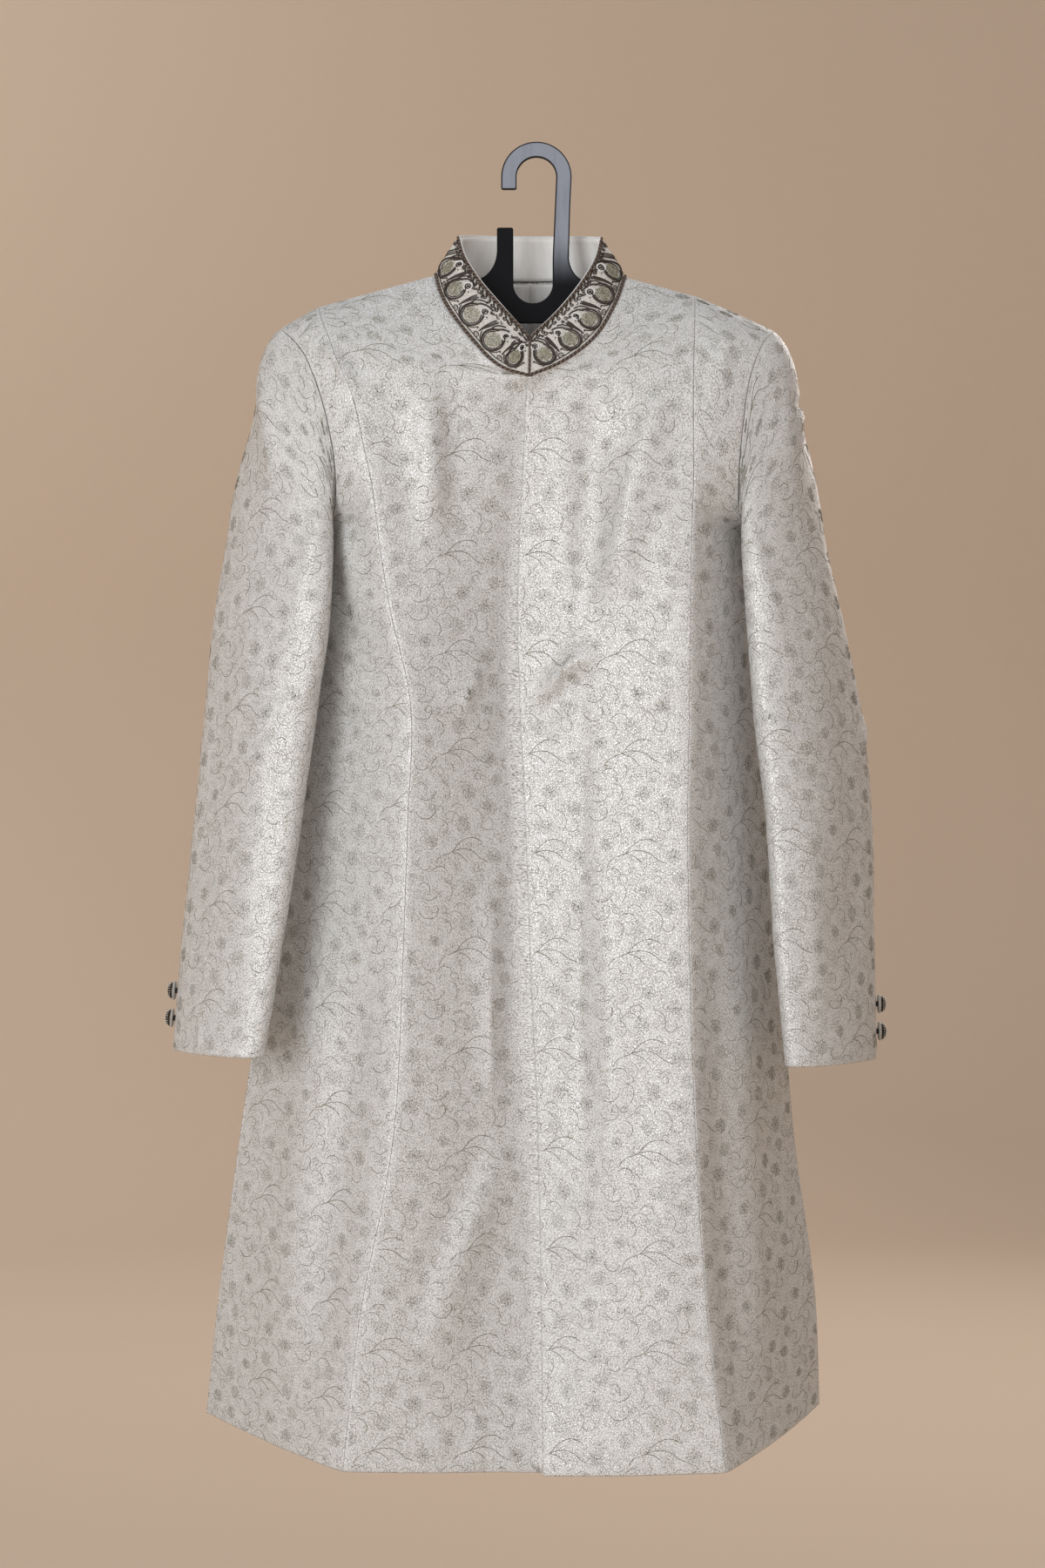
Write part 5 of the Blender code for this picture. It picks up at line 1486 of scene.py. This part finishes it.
def button_mesh(spot, facing):
    """A button on its shank: a dark dome covered with rings of grains, and a cloth-covered base."""
    radius = 0.5 * BUTTON_DIAMETER
    dome = BUTTON_DOME_SHARE * radius
    profile = [(dome * math.cos(a), BUTTON_RIM + BUTTON_DOME * math.sin(a))
               for a in [math.radians(90.0 - 9.0 * k) for k in range(11)]]
    profile += [(dome + 0.2, BUTTON_RIM - 0.2), (radius - 0.2, BUTTON_RIM - 0.1), (radius, BUTTON_BASE),
                (radius, 0.5), (radius - 0.6, 0.0), (BUTTON_SHANK, 0.0), (BUTTON_SHANK, -BUTTON_LIFT),
                (0.0, -BUTTON_LIFT)]
    shape = turned(profile, MM, 48, 0.005 * MM)
    for face in shape.faces:
        middle = face.calc_center_median() / MM
        on_base = BUTTON_BASE > middle.z > -0.1 and math.hypot(middle.x, middle.y) > BUTTON_SHANK + 0.1
        face.material_index = BUTTON_CLOTH if on_base else BUTTON_METAL
    for count, share, size in BUTTON_GRAINS:
        reach = share * dome
        rise = BUTTON_RIM + BUTTON_DOME * math.sqrt(max(0.0, 1.0 - (reach / dome) ** 2))
        for k in range(count):
            a = 2.0 * math.pi * k / count
            point = Vector((reach * math.cos(a), reach * math.sin(a), rise))
            add_bead(shape, point, point.normalized(), size, BUTTON_SILVER, 1.0)
    up = facing.to_track_quat("Z", "Y").to_matrix().to_4x4()
    place = Matrix.Translation((spot + facing * (BUTTON_LIFT + LAYER_GAP)) * MM) @ up
    bmesh.ops.transform(shape, matrix=place, verts=shape.verts)
    return finished_mesh(shape, "button", 45.0)


# ---------------------------------------------------------------- finishes
class Wire:
    """A node's output in a finish; plain numbers may stand beside it in an expression."""

    def __init__(self, finish, socket):
        self.finish = finish
        self.socket = socket

    def maths(self, operation, first, second=0.0):
        return self.finish.node("ShaderNodeMath", {"operation": operation}, {0: first, 1: second})

    def __add__(self, other):
        return self.maths("ADD", self, other)

    def __radd__(self, other):
        return self.maths("ADD", other, self)

    def __sub__(self, other):
        return self.maths("SUBTRACT", self, other)

    def __rsub__(self, other):
        return self.maths("SUBTRACT", other, self)

    def __mul__(self, other):
        return self.maths("MULTIPLY", self, other)

    def __rmul__(self, other):
        return self.maths("MULTIPLY", other, self)

    def __truediv__(self, other):
        return self.maths("DIVIDE", self, other)

    def rise(self, low, high):
        """0 below low, 1 above high and smooth between them; the other way round where low > high."""
        settings = {"interpolation_type": "SMOOTHSTEP"}
        values = {"Value": self, "From Min": min(low, high), "From Max": max(low, high)}
        if low > high:
            values.update({"To Min": 1.0, "To Max": 0.0})
        return self.finish.node("ShaderNodeMapRange", settings, values)


class Finish:
    """One material and the nodes that paint it."""

    def __init__(self, name, **constants):
        self.material = bpy.data.materials.new(name)
        self.material.use_nodes = True
        self.tree = self.material.node_tree
        self.shader = self.tree.nodes["Principled BSDF"]
        self.space = "3D"
        for socket, value in constants.items():
            self.set(socket.replace("_", " "), value)

    def set(self, socket, value):
        self.feed(self.shader.inputs[socket], value)

    def feed(self, socket, value):
        if isinstance(value, Wire):
            self.tree.links.new(value.socket, socket)
        elif socket.type == "RGBA" and len(value) == 3:
            socket.default_value = (*value, 1.0)
        else:
            socket.default_value = value

    def node(self, kind, settings=None, values=None, output=0):
        """A new node: its settings are made first, then its sockets are set or linked."""
        made = self.tree.nodes.new(kind)
        for key, value in (settings or {}).items():
            setattr(made, key, value)
        for key, value in (values or {}).items():
            self.feed(made.inputs[key], value)
        return Wire(self, made.outputs[output])

    def place(self, output, scale=(1000.0, 1000.0, 1000.0), move=(0.0, 0.0, 0.0)):
        """Texture coordinates in mm: UV or Object, stretched and shifted as asked."""
        self.space = "2D" if output == "UV" else "3D"
        source = self.node("ShaderNodeTexCoord", None, None, output)
        return self.node("ShaderNodeMapping", None, {"Vector": source, "Scale": scale, "Location": move})

    def noise(self, where, size, detail=2.0, rough=0.5, output=0):
        values = {"Vector": where, "Scale": 1.0 / size, "Detail": detail, "Roughness": rough}
        return self.node("ShaderNodeTexNoise", {"noise_dimensions": self.space}, values, output)

    def cell_edges(self, where, size):
        """Distance to the borders of random cells of the given size."""
        settings = {"feature": "DISTANCE_TO_EDGE", "voronoi_dimensions": self.space}
        return self.node("ShaderNodeTexVoronoi", settings, {"Vector": where, "Scale": 1.0 / size})

    def blend(self, share, first, second):
        """Mixes two colours."""
        return self.node("ShaderNodeMix", {"data_type": "RGBA"}, {0: share, 6: first, 7: second}, 2)

    def moved(self, where, by, amount):
        """Coordinates pushed about by a noise's colour."""
        centred = self.node("ShaderNodeVectorMath", {"operation": "SUBTRACT"}, {0: by, 1: (0.5, 0.5, 0.5)})
        scaled = self.node("ShaderNodeVectorMath", {"operation": "SCALE"}, {0: centred, "Scale": amount})
        return self.node("ShaderNodeVectorMath", {"operation": "ADD"}, {0: where, 1: scaled})

    def bumped(self, height, distance, strength=1.0):
        """Relief, its full height given in mm."""
        values = {"Height": height, "Distance": distance * MM, "Strength": strength}
        self.set("Normal", self.node("ShaderNodeBump", None, values))


def brocade_finish(cloth):
    """Ivory brocade: a fine crinkled ground with grey, cream and glinting threads."""
    finish = Finish("ivory_brocade", Sheen_Weight=0.1, Sheen_Roughness=0.5, Metallic=0.16)
    flat = finish.place("UV")
    crinkled = finish.moved(flat, finish.noise(flat, 4.0, 1.0, output=1), 4.2)
    strokes = finish.cell_edges(crinkled, 2.3).rise(0.24, 0.08)
    gaps = finish.noise(flat, 1.5, 2.0).rise(0.44, 0.56)
    zone = finish.noise(flat, 11.0, 2.0).rise(0.25, 0.75)
    dark = strokes * gaps * (0.55 + 0.45 * zone)
    shifted = finish.place("UV", move=(37.0, 11.0, 0.0))
    other = finish.moved(shifted, finish.noise(flat, 3.2, 1.0, output=1), 3.6)
    light = finish.cell_edges(other, 2.1).rise(0.22, 0.07)
    light = light * finish.noise(flat, 1.2, 2.0).rise(0.44, 0.56)
    fine = finish.noise(flat, 0.8, 2.0, 0.6)
    speck = fine.rise(0.57, 0.68) * (0.4 + 0.4 * zone)
    colour = finish.blend(zone * 0.6, cloth.ground, cloth.ground_shade)
    colour = finish.blend(speck * 0.45, colour, cloth.ground_dark)
    colour = finish.blend(light * 0.8, colour, cloth.ground_light)
    colour = finish.blend(dark * 0.78, colour, cloth.ground_dark)
    finish.set("Base Color", colour)
    finish.set("Roughness", 0.50 - 0.26 * light + 0.12 * dark)
    weave = finish.noise(flat, 0.45, 1.0)
    finish.bumped(0.6 * strokes + 0.45 * fine + 0.35 * weave, 0.35, 0.6)
    return finish.material


def lining_finish(cloth):
    """Cream satin with faint vertical puckers, painted darker along them as painted shade."""
    finish = Finish("cream_satin", Sheen_Weight=0.1, Roughness=0.42)
    flat = finish.place("UV")
    wide = finish.place("UV", (1000.0, 160.0, 1000.0))
    streak = finish.noise(wide, 5.0, 2.0)
    # Painted shade: the colour turns to the lining's painted shade along the puckers.
    colour = finish.blend(streak.rise(0.3, 0.7) * 0.35, cloth.lining, cloth.lining_painted_shade)
    finish.set("Base Color", colour)
    weave = finish.noise(flat, 0.5, 1.0)
    finish.bumped(0.8 * streak + 0.2 * weave, 0.8, 0.5)
    return finish.material


def toned(colour, factor):
    return tuple(factor * channel for channel in colour)


def thread_finish(name, colour, shine, metal):
    finish = Finish(name, Metallic=metal)
    flat = finish.place("UV")
    twist = finish.node("ShaderNodeTexWave", {"bands_direction": "DIAGONAL"},
                        {"Vector": flat, "Scale": 0.5, "Distortion": 1.5, "Detail": 1.0})
    worn = finish.noise(flat, 2.2, 2.0)
    # The colour is darker in the twist's grooves, where the relief is low, as painted shade; the worn noise
    # varies it at random.
    finish.set("Base Color", finish.blend(twist * 0.5 + worn * 0.5, toned(colour, 0.55), colour))
    finish.set("Roughness", shine + 0.2 * worn)
    finish.bumped(twist, 0.2, 0.7)
    return finish.material


def solid_finish(name, colour, roughness, metal=0.0, grain=1.5, contrast=0.45, relief=0.15):
    """A finish on Object coordinates with uneven colour and a fine relief."""
    finish = Finish(name, Metallic=metal)
    spot = finish.place("Object")
    cloud = finish.noise(spot, grain, 3.0)
    darker = toned(colour, 1.0 - contrast)
    finish.set("Base Color", finish.blend(cloud.rise(0.3, 0.7), darker, colour))
    finish.set("Roughness", roughness + 0.25 * cloud)
    finish.bumped(finish.noise(spot, 0.4 * grain, 2.0), relief, 0.8)
    return finish.material


def plastic_finish(hanger):
    """Glossy black plastic, with a painted blue-grey reflection on the faces of the hook and the stem."""
    finish = Finish("hanger_plastic", IOR=1.48, Specular_IOR_Level=0.07)
    spot = finish.place("Object")
    parts = finish.node("ShaderNodeSeparateXYZ", None, {0: spot}, 0)
    height = finish.node("ShaderNodeSeparateXYZ", None, {0: spot}, 2)
    # Painted reflection: a blue-grey sheen painted on the hook and the stem, stronger along a vertical
    # streak and faded out over the rim.
    stem = height.rise(-118.0, -66.0) * parts.rise(2.0, 12.0)
    hook = stem.maths("MAXIMUM", stem, height.rise(-50.0, -34.0))
    streak = finish.noise(finish.place("Object", (1000.0, 1000.0, 140.0)), 7.0, 3.0)
    inner = finish.node("ShaderNodeAttribute", {"attribute_name": "painted_reflection"}, None, "Fac")
    reflection_mask = hook * inner * (0.7 + 0.6 * streak)
    finish.set("Base Color", finish.blend(reflection_mask, hanger.colour, hanger.painted_reflection))
    finish.set("Roughness", 0.16 + 0.2 * reflection_mask + 0.06 * streak)
    finish.bumped(finish.noise(spot, 14.0, 2.0), 0.12, 0.6)
    return finish.material


# ---------------------------------------------------------------- room, lights and camera
CAMERA_PLACE = (-0.01262, -2.5625, -0.5669)
CAMERA_LENS = 65.0
CAMERA_SENSOR = 36.0
FLOOR_Z = -1.62
ROOM_RADIUS = 5.6
ROOM_FILLET = 1.6       # where the floor curves up into the wall
ROOM_HEIGHT = 5.0
LIGHT_TARGET = (0.0, 0.0, -0.6)
WALL_TARGET = (-2.2, 5.6, 0.4)
SKY_COLOUR = (0.97, 0.98, 1.0, 1.0)
SKY_STRENGTH = 0.56


def area_light(name, place, target, size, power, colour):
    lamp = bpy.data.lights.new(name, "AREA")
    lamp.shape = "DISK"
    lamp.size = size
    lamp.energy = power
    lamp.color = colour
    obj = bpy.data.objects.new(name, lamp)
    obj.location = place
    obj.rotation_euler = (Vector(target) - Vector(place)).to_track_quat("-Z", "Y").to_euler()
    bpy.context.scene.collection.objects.link(obj)
    return obj


def room_mesh():
    """A round room: pale floor that curves up into the wall."""
    flat = ROOM_RADIUS - ROOM_FILLET
    profile = [(0.0, 0.0), (flat, 0.0)]
    for k in range(1, 13):
        a = math.radians(7.5 * k)
        profile.append((flat + ROOM_FILLET * math.sin(a), ROOM_FILLET - ROOM_FILLET * math.cos(a)))
    profile.append((ROOM_RADIUS, ROOM_HEIGHT))
    shape = turned([(x, z + FLOOR_Z) for x, z in profile], 1.0, 64, 0.0005)
    bmesh.ops.reverse_faces(shape, faces=shape.faces)
    return finished_mesh(shape, "room", 60.0)


def room_finish(stage):
    finish = Finish("backdrop", Roughness=0.95)
    spot = finish.node("ShaderNodeTexCoord", None, None, "Object")
    cloud = finish.noise(spot, 2.2, 2.0)
    finish.set("Base Color", finish.blend(cloud, toned(stage.backdrop, 0.93), stage.backdrop))
    finish.bumped(finish.noise(spot, 0.01, 2.0), 0.1, 0.2)
    return finish.material


# ---------------------------------------------------------------- what a user may change
def colour_value(name, description, default):
    return FloatVectorProperty(name=name, description=description, subtype="COLOR", size=3,
                               min=0.0, max=1.0, default=default)


class ClothSettings(bpy.types.PropertyGroup):
    """Cloth of the coat."""

    ground: colour_value("Ground", "Colour of the brocade's ground", (0.66, 0.665, 0.665))
    ground_light: colour_value("Light thread", "Colour of its light threads", (0.97, 0.97, 0.965))
    ground_shade: colour_value("Shade", "Colour of its greyer zones", (0.57, 0.565, 0.555))
    ground_dark: colour_value("Dark thread", "Colour of its dark threads", (0.17, 0.145, 0.115))
    lining: colour_value("Lining", "Colour of the satin lining", (0.88, 0.87, 0.85))
    # Painted shade along the lining's puckers.
    lining_painted_shade: colour_value("Lining shade", "Colour in the lining's puckers", (0.76, 0.745, 0.72))
    thickness: FloatProperty(name="Thickness", description="Thickness of the brocade with its lining",
                             default=1.9 * MM, min=0.5 * MM, max=2.0 * MM, unit="LENGTH")


class EmbroiderySettings(bpy.types.PropertyGroup):
    """Embroidery on the brocade."""

    thread: colour_value("Thread", "Colour of the thread", (0.26, 0.24, 0.16))
    pale: colour_value("Pale thread", "Colour of the paler thread", (0.38, 0.36, 0.28))
    centre: colour_value("Centre thread", "Colour of the flowers' centres", (0.09, 0.075, 0.035))
    light: colour_value("Light thread", "Colour of the strokes in the petals", (0.82, 0.80, 0.72))
    seed: IntProperty(name="Seed", description="Which uneven hand the threads are worked in", default=5)


class CollarSettings(bpy.types.PropertyGroup):
    """Worked collar."""

    ground: colour_value("Ground", "Colour of the collar's ground", (0.74, 0.71, 0.66))
    cord: colour_value("Cord", "Colour of the twisted cord", (0.052, 0.035, 0.026))
    bead: colour_value("Bead", "Colour of the beads", (0.44, 0.42, 0.32))
    green: colour_value("Green bead", "Colour of the greener beads", (0.36, 0.345, 0.24))


class ButtonSettings(bpy.types.PropertyGroup):
    """Cuff buttons."""

    metal: colour_value("Metal", "Colour of the dark metal", (0.045, 0.035, 0.03))
    silver: colour_value("Silver", "Colour of the raised grains", (0.85, 0.81, 0.74))
    cloth: colour_value("Cloth", "Colour of the cloth-covered base", (0.58, 0.56, 0.52))


class HangerSettings(bpy.types.PropertyGroup):
    """Plastic hanger."""

    colour: colour_value("Plastic", "Colour of the plastic", (0.008, 0.008, 0.010))
    # Colour of the reflection painted on the hook and the stem.
    painted_reflection: colour_value("Painted reflection", "Colour of the painted reflection on the hook and stem", (0.27, 0.29, 0.345))
    edge: FloatProperty(name="Edge", description="Rounding of the plate's edge", default=0.8 * MM,
                        min=0.2 * MM, max=1.5 * MM, unit="LENGTH")


class StageSettings(bpy.types.PropertyGroup):
    """Room, light and camera."""

    backdrop: colour_value("Backdrop", "Colour of the room", (0.60, 0.48, 0.375))
    key: FloatProperty(name="Key light", description="Power of the main light", default=69.0, unit="POWER")
    fill: FloatProperty(name="Fill light", description="Power of the fill light", default=42.0,
                        unit="POWER")
    back: FloatProperty(name="Back light", description="Power of the light behind the coat", default=42.0,
                        unit="POWER")
    wall: FloatProperty(name="Wall light", description="Power of the light on the wall", default=62.0,
                        unit="POWER")


GROUPS = {"sherwani_cloth": ClothSettings, "sherwani_embroidery": EmbroiderySettings,
          "sherwani_collar": CollarSettings, "sherwani_button": ButtonSettings,
          "sherwani_hanger": HangerSettings, "sherwani_stage": StageSettings}


@lru_cache(maxsize=None)
def shared_finish(name):
    scene = bpy.context.scene
    if name == "brocade":
        return brocade_finish(scene.sherwani_cloth)
    return lining_finish(scene.sherwani_cloth)


def sewn_piece(piece, grids, worked_spots):
    """One brocade piece of the coat with the embroidery that is worked on it."""
    scene = bpy.context.scene
    finishes = [shared_finish("brocade"), shared_finish("satin")]
    obj = cloth_piece(piece + "_cloth", grids, finishes, scene.sherwani_cloth.thickness / MM)
    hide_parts(piece)
    settings = scene.sherwani_embroidery
    threads = [thread_finish("embroidery_thread", tuple(settings.thread), 0.4, 0.2),
               thread_finish("pale_thread", tuple(settings.pale), 0.4, 0.2),
               thread_finish("centre_thread", tuple(settings.centre), 0.45, 0.2),
               thread_finish("light_thread", tuple(settings.light), 0.35, 0.1)]
    runs = thread_runs(Surface(worked_spots), PATTERN_START[piece], "%s %d" % (piece, settings.seed))
    work = thread_mesh(piece + "_embroidery", runs, threads)


class SHERWANI_OT_fronts(bpy.types.Operator):
    """Build the two fronts, from the closing edge to the princess seams"""

    bl_idname = "sherwani.fronts"
    bl_label = "Fronts"

    def execute(self, context):
        right = columns_of(coat().front["right"], 0, PRINCESS)
        left = columns_of(coat().front["left"], 0, PRINCESS)
        worked = panel(right, ((), PRESSED_ROLL))
        sewn_piece("front_right", [worked, coat().underlap], worked)
        worked = panel(left, (HEM_ROLL, PRESSED_ROLL))
        sewn_piece("front_left", [worked], worked)
        return {"FINISHED"}


class SHERWANI_OT_sides(bpy.types.Operator):
    """Build the side panels, from the princess seams to the side seams"""

    bl_idname = "sherwani.sides"
    bl_label = "Side panels"

    def execute(self, context):
        for side in SIDES:
            spots = coat().front[side]
            worked = panel(columns_of(spots, PRINCESS, len(spots[0]) - 1), (PRESSED_ROLL, SEAM_ROLL))
            sewn_piece("side_" + side, [worked], worked)
        return {"FINISHED"}


class SHERWANI_OT_backs(bpy.types.Operator):
    """Build the two backs, which meet in the centre back seam"""

    bl_idname = "sherwani.backs"
    bl_label = "Backs"

    def execute(self, context):
        for side in SIDES:
            worked = panel(coat().back[side])
            sewn_piece("back_" + side, [worked], worked)
        return {"FINISHED"}


class SHERWANI_OT_sleeves(bpy.types.Operator):
    """Build the top and under sleeves"""

    bl_idname = "sherwani.sleeves"
    bl_label = "Sleeves"

    def execute(self, context):
        for side in SIDES:
            for part in ("top", "under"):
                worked = panel(coat().sleeve[side][part])
                sewn_piece("%s_sleeve_%s" % (part, side), [worked], worked)
        return {"FINISHED"}


class SHERWANI_OT_collar(bpy.types.Operator):
    """Build the standing collar with its beads and cords, and the satin inside the neck"""

    bl_idname = "sherwani.collar"
    bl_label = "Collar"

    def execute(self, context):
        settings = context.scene.sherwani_collar
        spots = coat().collar
        ground = solid_finish("collar_ground", tuple(settings.ground), 0.5, 0.0, 1.2, 0.4, 0.3)
        band = cloth_piece("collar_band", [spots], [ground, shared_finish("satin")], CLOTH - 0.1)
        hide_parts("collar")
        cord = solid_finish("brown_cord", tuple(settings.cord), 0.5, 0.0, 0.9, 0.6, 0.3)
        bead = solid_finish("gold_bead", tuple(settings.bead), 0.2, 0.5, 2.0, 0.5, 0.05)
        green = solid_finish("green_bead", tuple(settings.green), 0.2, 0.3, 2.0, 0.5, 0.05)
        thread = solid_finish("brown_thread", toned(settings.cord, 1.6), 0.5, 0.0, 0.8, 0.5, 0.3)
        lining = tuple(context.scene.sherwani_cloth.lining)
        white = solid_finish("cream_cord", lining, 0.45, 0.0, 0.9, 0.3, 0.3)
        sequin = solid_finish("dark_sequin", toned(settings.cord, 0.6), 0.15, 0.7, 2.0, 0.3, 0.05)
        shape = bmesh.new()
        surface = Surface(spots)
        plan = CollarPlan(surface)
        collar_work(shape, plan, random.Random(3))
        work = new_object("collar_work", finished_mesh(shape, "collar_work", 35.0),
                          [cord, bead, green, thread, white, sequin])
        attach(work, BODY)
        tan = solid_finish("tan_cord", toned(settings.cord, 4.0), 0.5, 0.0, 0.9, 0.4, 0.3)
        edging = self.edging(spots, [cord, tan, white])
        self.inside(spots)
        return {"FINISHED"}

    def edging(self, spots, finishes):
        """Twisted cord along the seam and below the top edge, and a satin fold above it."""
        shape = bmesh.new()
        low = [(spot.point, spot.outward) for spot in spots[0]]
        near_top = [(a.point.lerp(b.point, 0.3), b.outward) for a, b in zip(spots[-1], spots[-2])]
        add_twisted_cord(shape, lifted(low, 0.6), 1.35, (0, 1))
        add_twisted_cord(shape, lifted(near_top, 0.5), 1.2, (0, 1))
        add_tube(shape, lifted([(spot.point, spot.outward) for spot in spots[-1]], -0.6), 1.3, 2)
        left_end = [(row[-1].point, row[-1].outward) for row in spots]
        add_twisted_cord(shape, lifted(left_end, 0.4), 0.9, (0, 1))
        work = new_object("collar_edging", finished_mesh(shape, "collar_edging", 60.0), finishes)
        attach(work, BODY)
        return work

    def inside(self, spots):
        satin = shared_finish("satin")
        band = [[spot.sunk(CLOTH + LAYER_GAP) for spot in row] for row in spots]
        lining = cloth_piece("collar_band_lining", [band], [satin], SATIN)
        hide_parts("collar_lining")
        first = row_index(BACK_RIGHT, "chest", ROWS_FINER)
        grids = []
        for side in SIDES:
            rows = columns_of(coat().back[side], 0, LINING_COLUMNS * BACK_FINER)[first:-ROWS_FINER]
            rows = [[spot.sunk(CLOTH + LAYER_GAP) for spot in row] for row in rows]
            for r, row in enumerate(rows):
                if r + first > NECK:
                    step = (row[1].point - row[0].point).length
                    row[0] = row[0].toward(row[1], min(LINING_BELOW_SEAM / step, 0.9))
            grids.append(rows)
        facing = cloth_piece("neck_facing", grids, [satin], SATIN)
        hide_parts("back_neck_lining")


class SHERWANI_OT_buttons(bpy.types.Operator):
    """Build the four cuff buttons"""

    bl_idname = "sherwani.buttons"
    bl_label = "Buttons"

    def execute(self, context):
        settings = context.scene.sherwani_button
        metal = solid_finish("button_metal", tuple(settings.metal), 0.3, 0.7, 0.8, 0.6, 0.25)
        silver = solid_finish("button_silver", tuple(settings.silver), 0.25, 0.9, 1.0, 0.4, 0.05)
        cloth = solid_finish("button_cloth", tuple(settings.cloth), 0.6, 0.0, 1.2, 0.3, 0.2)
        for side in SIDES:
            for number, z in enumerate(BUTTON_HEIGHTS[side], 1):
                spot, facing = coat().button_place(side, z)
                obj = new_object("cuff_button_%s_%d" % (side, number), button_mesh(spot, facing),
                                 [metal, cloth, silver])
                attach(obj, BODY)
                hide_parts("button_%s_%d" % (side, number))
        return {"FINISHED"}


class SHERWANI_OT_hanger(bpy.types.Operator):
    """Build the flat plastic hanger"""

    bl_idname = "sherwani.hanger"
    bl_label = "Hanger"

    def execute(self, context):
        settings = context.scene.sherwani_hanger
        obj = new_object("hanger_plate", hanger_mesh(settings.edge), [plastic_finish(settings)])
        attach(obj, BODY)
        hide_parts("hanger")
        return {"FINISHED"}


class SHERWANI_OT_stage(bpy.types.Operator):
    """Build the room, the lights and the camera"""

    bl_idname = "sherwani.stage"
    bl_label = "Room, light and camera"

    def execute(self, context):
        settings = context.scene.sherwani_stage
        room = new_object("room", room_mesh(), [room_finish(settings)])
        area_light("key_light", (-1.9, -3.05, -0.35), LIGHT_TARGET, 2.0, settings.key, (0.915, 0.965, 1.0))
        area_light("fill_light", (0.8, -3.5, 0.2), LIGHT_TARGET, 4.6, settings.fill, (0.90, 0.96, 1.0))
        area_light("back_light", (1.6, 3.0, 1.0), LIGHT_TARGET, 2.0, settings.back, (1.0, 0.95, 0.90))
        backdrop = area_light("wall_light", (-2.4, 1.8, 2.0), WALL_TARGET, 2.4, settings.wall,
                              (1.0, 0.99, 0.97))
        backdrop.visible_camera = False
        world = bpy.data.worlds.new("studio")
        world.use_nodes = True
        sky = world.node_tree.nodes["Background"]
        sky.inputs["Color"].default_value = SKY_COLOUR
        sky.inputs["Strength"].default_value = SKY_STRENGTH
        context.scene.world = world
        data = bpy.data.cameras.new("camera")
        data.lens = CAMERA_LENS
        data.sensor_width = CAMERA_SENSOR
        data.sensor_fit = "AUTO"
        camera = bpy.data.objects.new("camera", data)
        camera.location = CAMERA_PLACE
        camera.rotation_euler = (math.radians(90.0), 0.0, 0.0)
        context.scene.collection.objects.link(camera)
        context.scene.camera = camera
        context.scene.view_settings.view_transform = "Standard"
        return {"FINISHED"}


OPERATORS = [SHERWANI_OT_fronts, SHERWANI_OT_sides, SHERWANI_OT_backs, SHERWANI_OT_sleeves,
             SHERWANI_OT_collar, SHERWANI_OT_buttons, SHERWANI_OT_hanger, SHERWANI_OT_stage]


class SHERWANI_PT_panel(bpy.types.Panel):
    """Lists the coat's pieces and their settings"""

    bl_idname = "SHERWANI_PT_panel"
    bl_label = "Sherwani Coat"
    bl_space_type = "VIEW_3D"
    bl_region_type = "UI"
    bl_category = "Sherwani"

    def draw(self, context):
        layout = self.layout
        for name, group in GROUPS.items():
            box = layout.box()
            settings = getattr(context.scene, name)
            for value in group.__annotations__:
                box.prop(settings, value)
        for operator in OPERATORS:
            layout.operator(operator.bl_idname)


def register():
    for name, group in GROUPS.items():
        bpy.utils.register_class(group)
        setattr(bpy.types.Scene, name, PointerProperty(type=group))
    for operator in OPERATORS:
        bpy.utils.register_class(operator)
    bpy.utils.register_class(SHERWANI_PT_panel)


def unregister():
    bpy.utils.unregister_class(SHERWANI_PT_panel)
    for operator in reversed(OPERATORS):
        bpy.utils.unregister_class(operator)
    for name, group in reversed(GROUPS.items()):
        delattr(bpy.types.Scene, name)
        bpy.utils.unregister_class(group)


def main():
    register()
    bpy.ops.sherwani.fronts()
    bpy.ops.sherwani.sides()
    bpy.ops.sherwani.backs()
    bpy.ops.sherwani.sleeves()
    bpy.ops.sherwani.collar()
    bpy.ops.sherwani.buttons()
    bpy.ops.sherwani.hanger()
    bpy.ops.sherwani.stage()


if __name__ == "__main__":
    main()
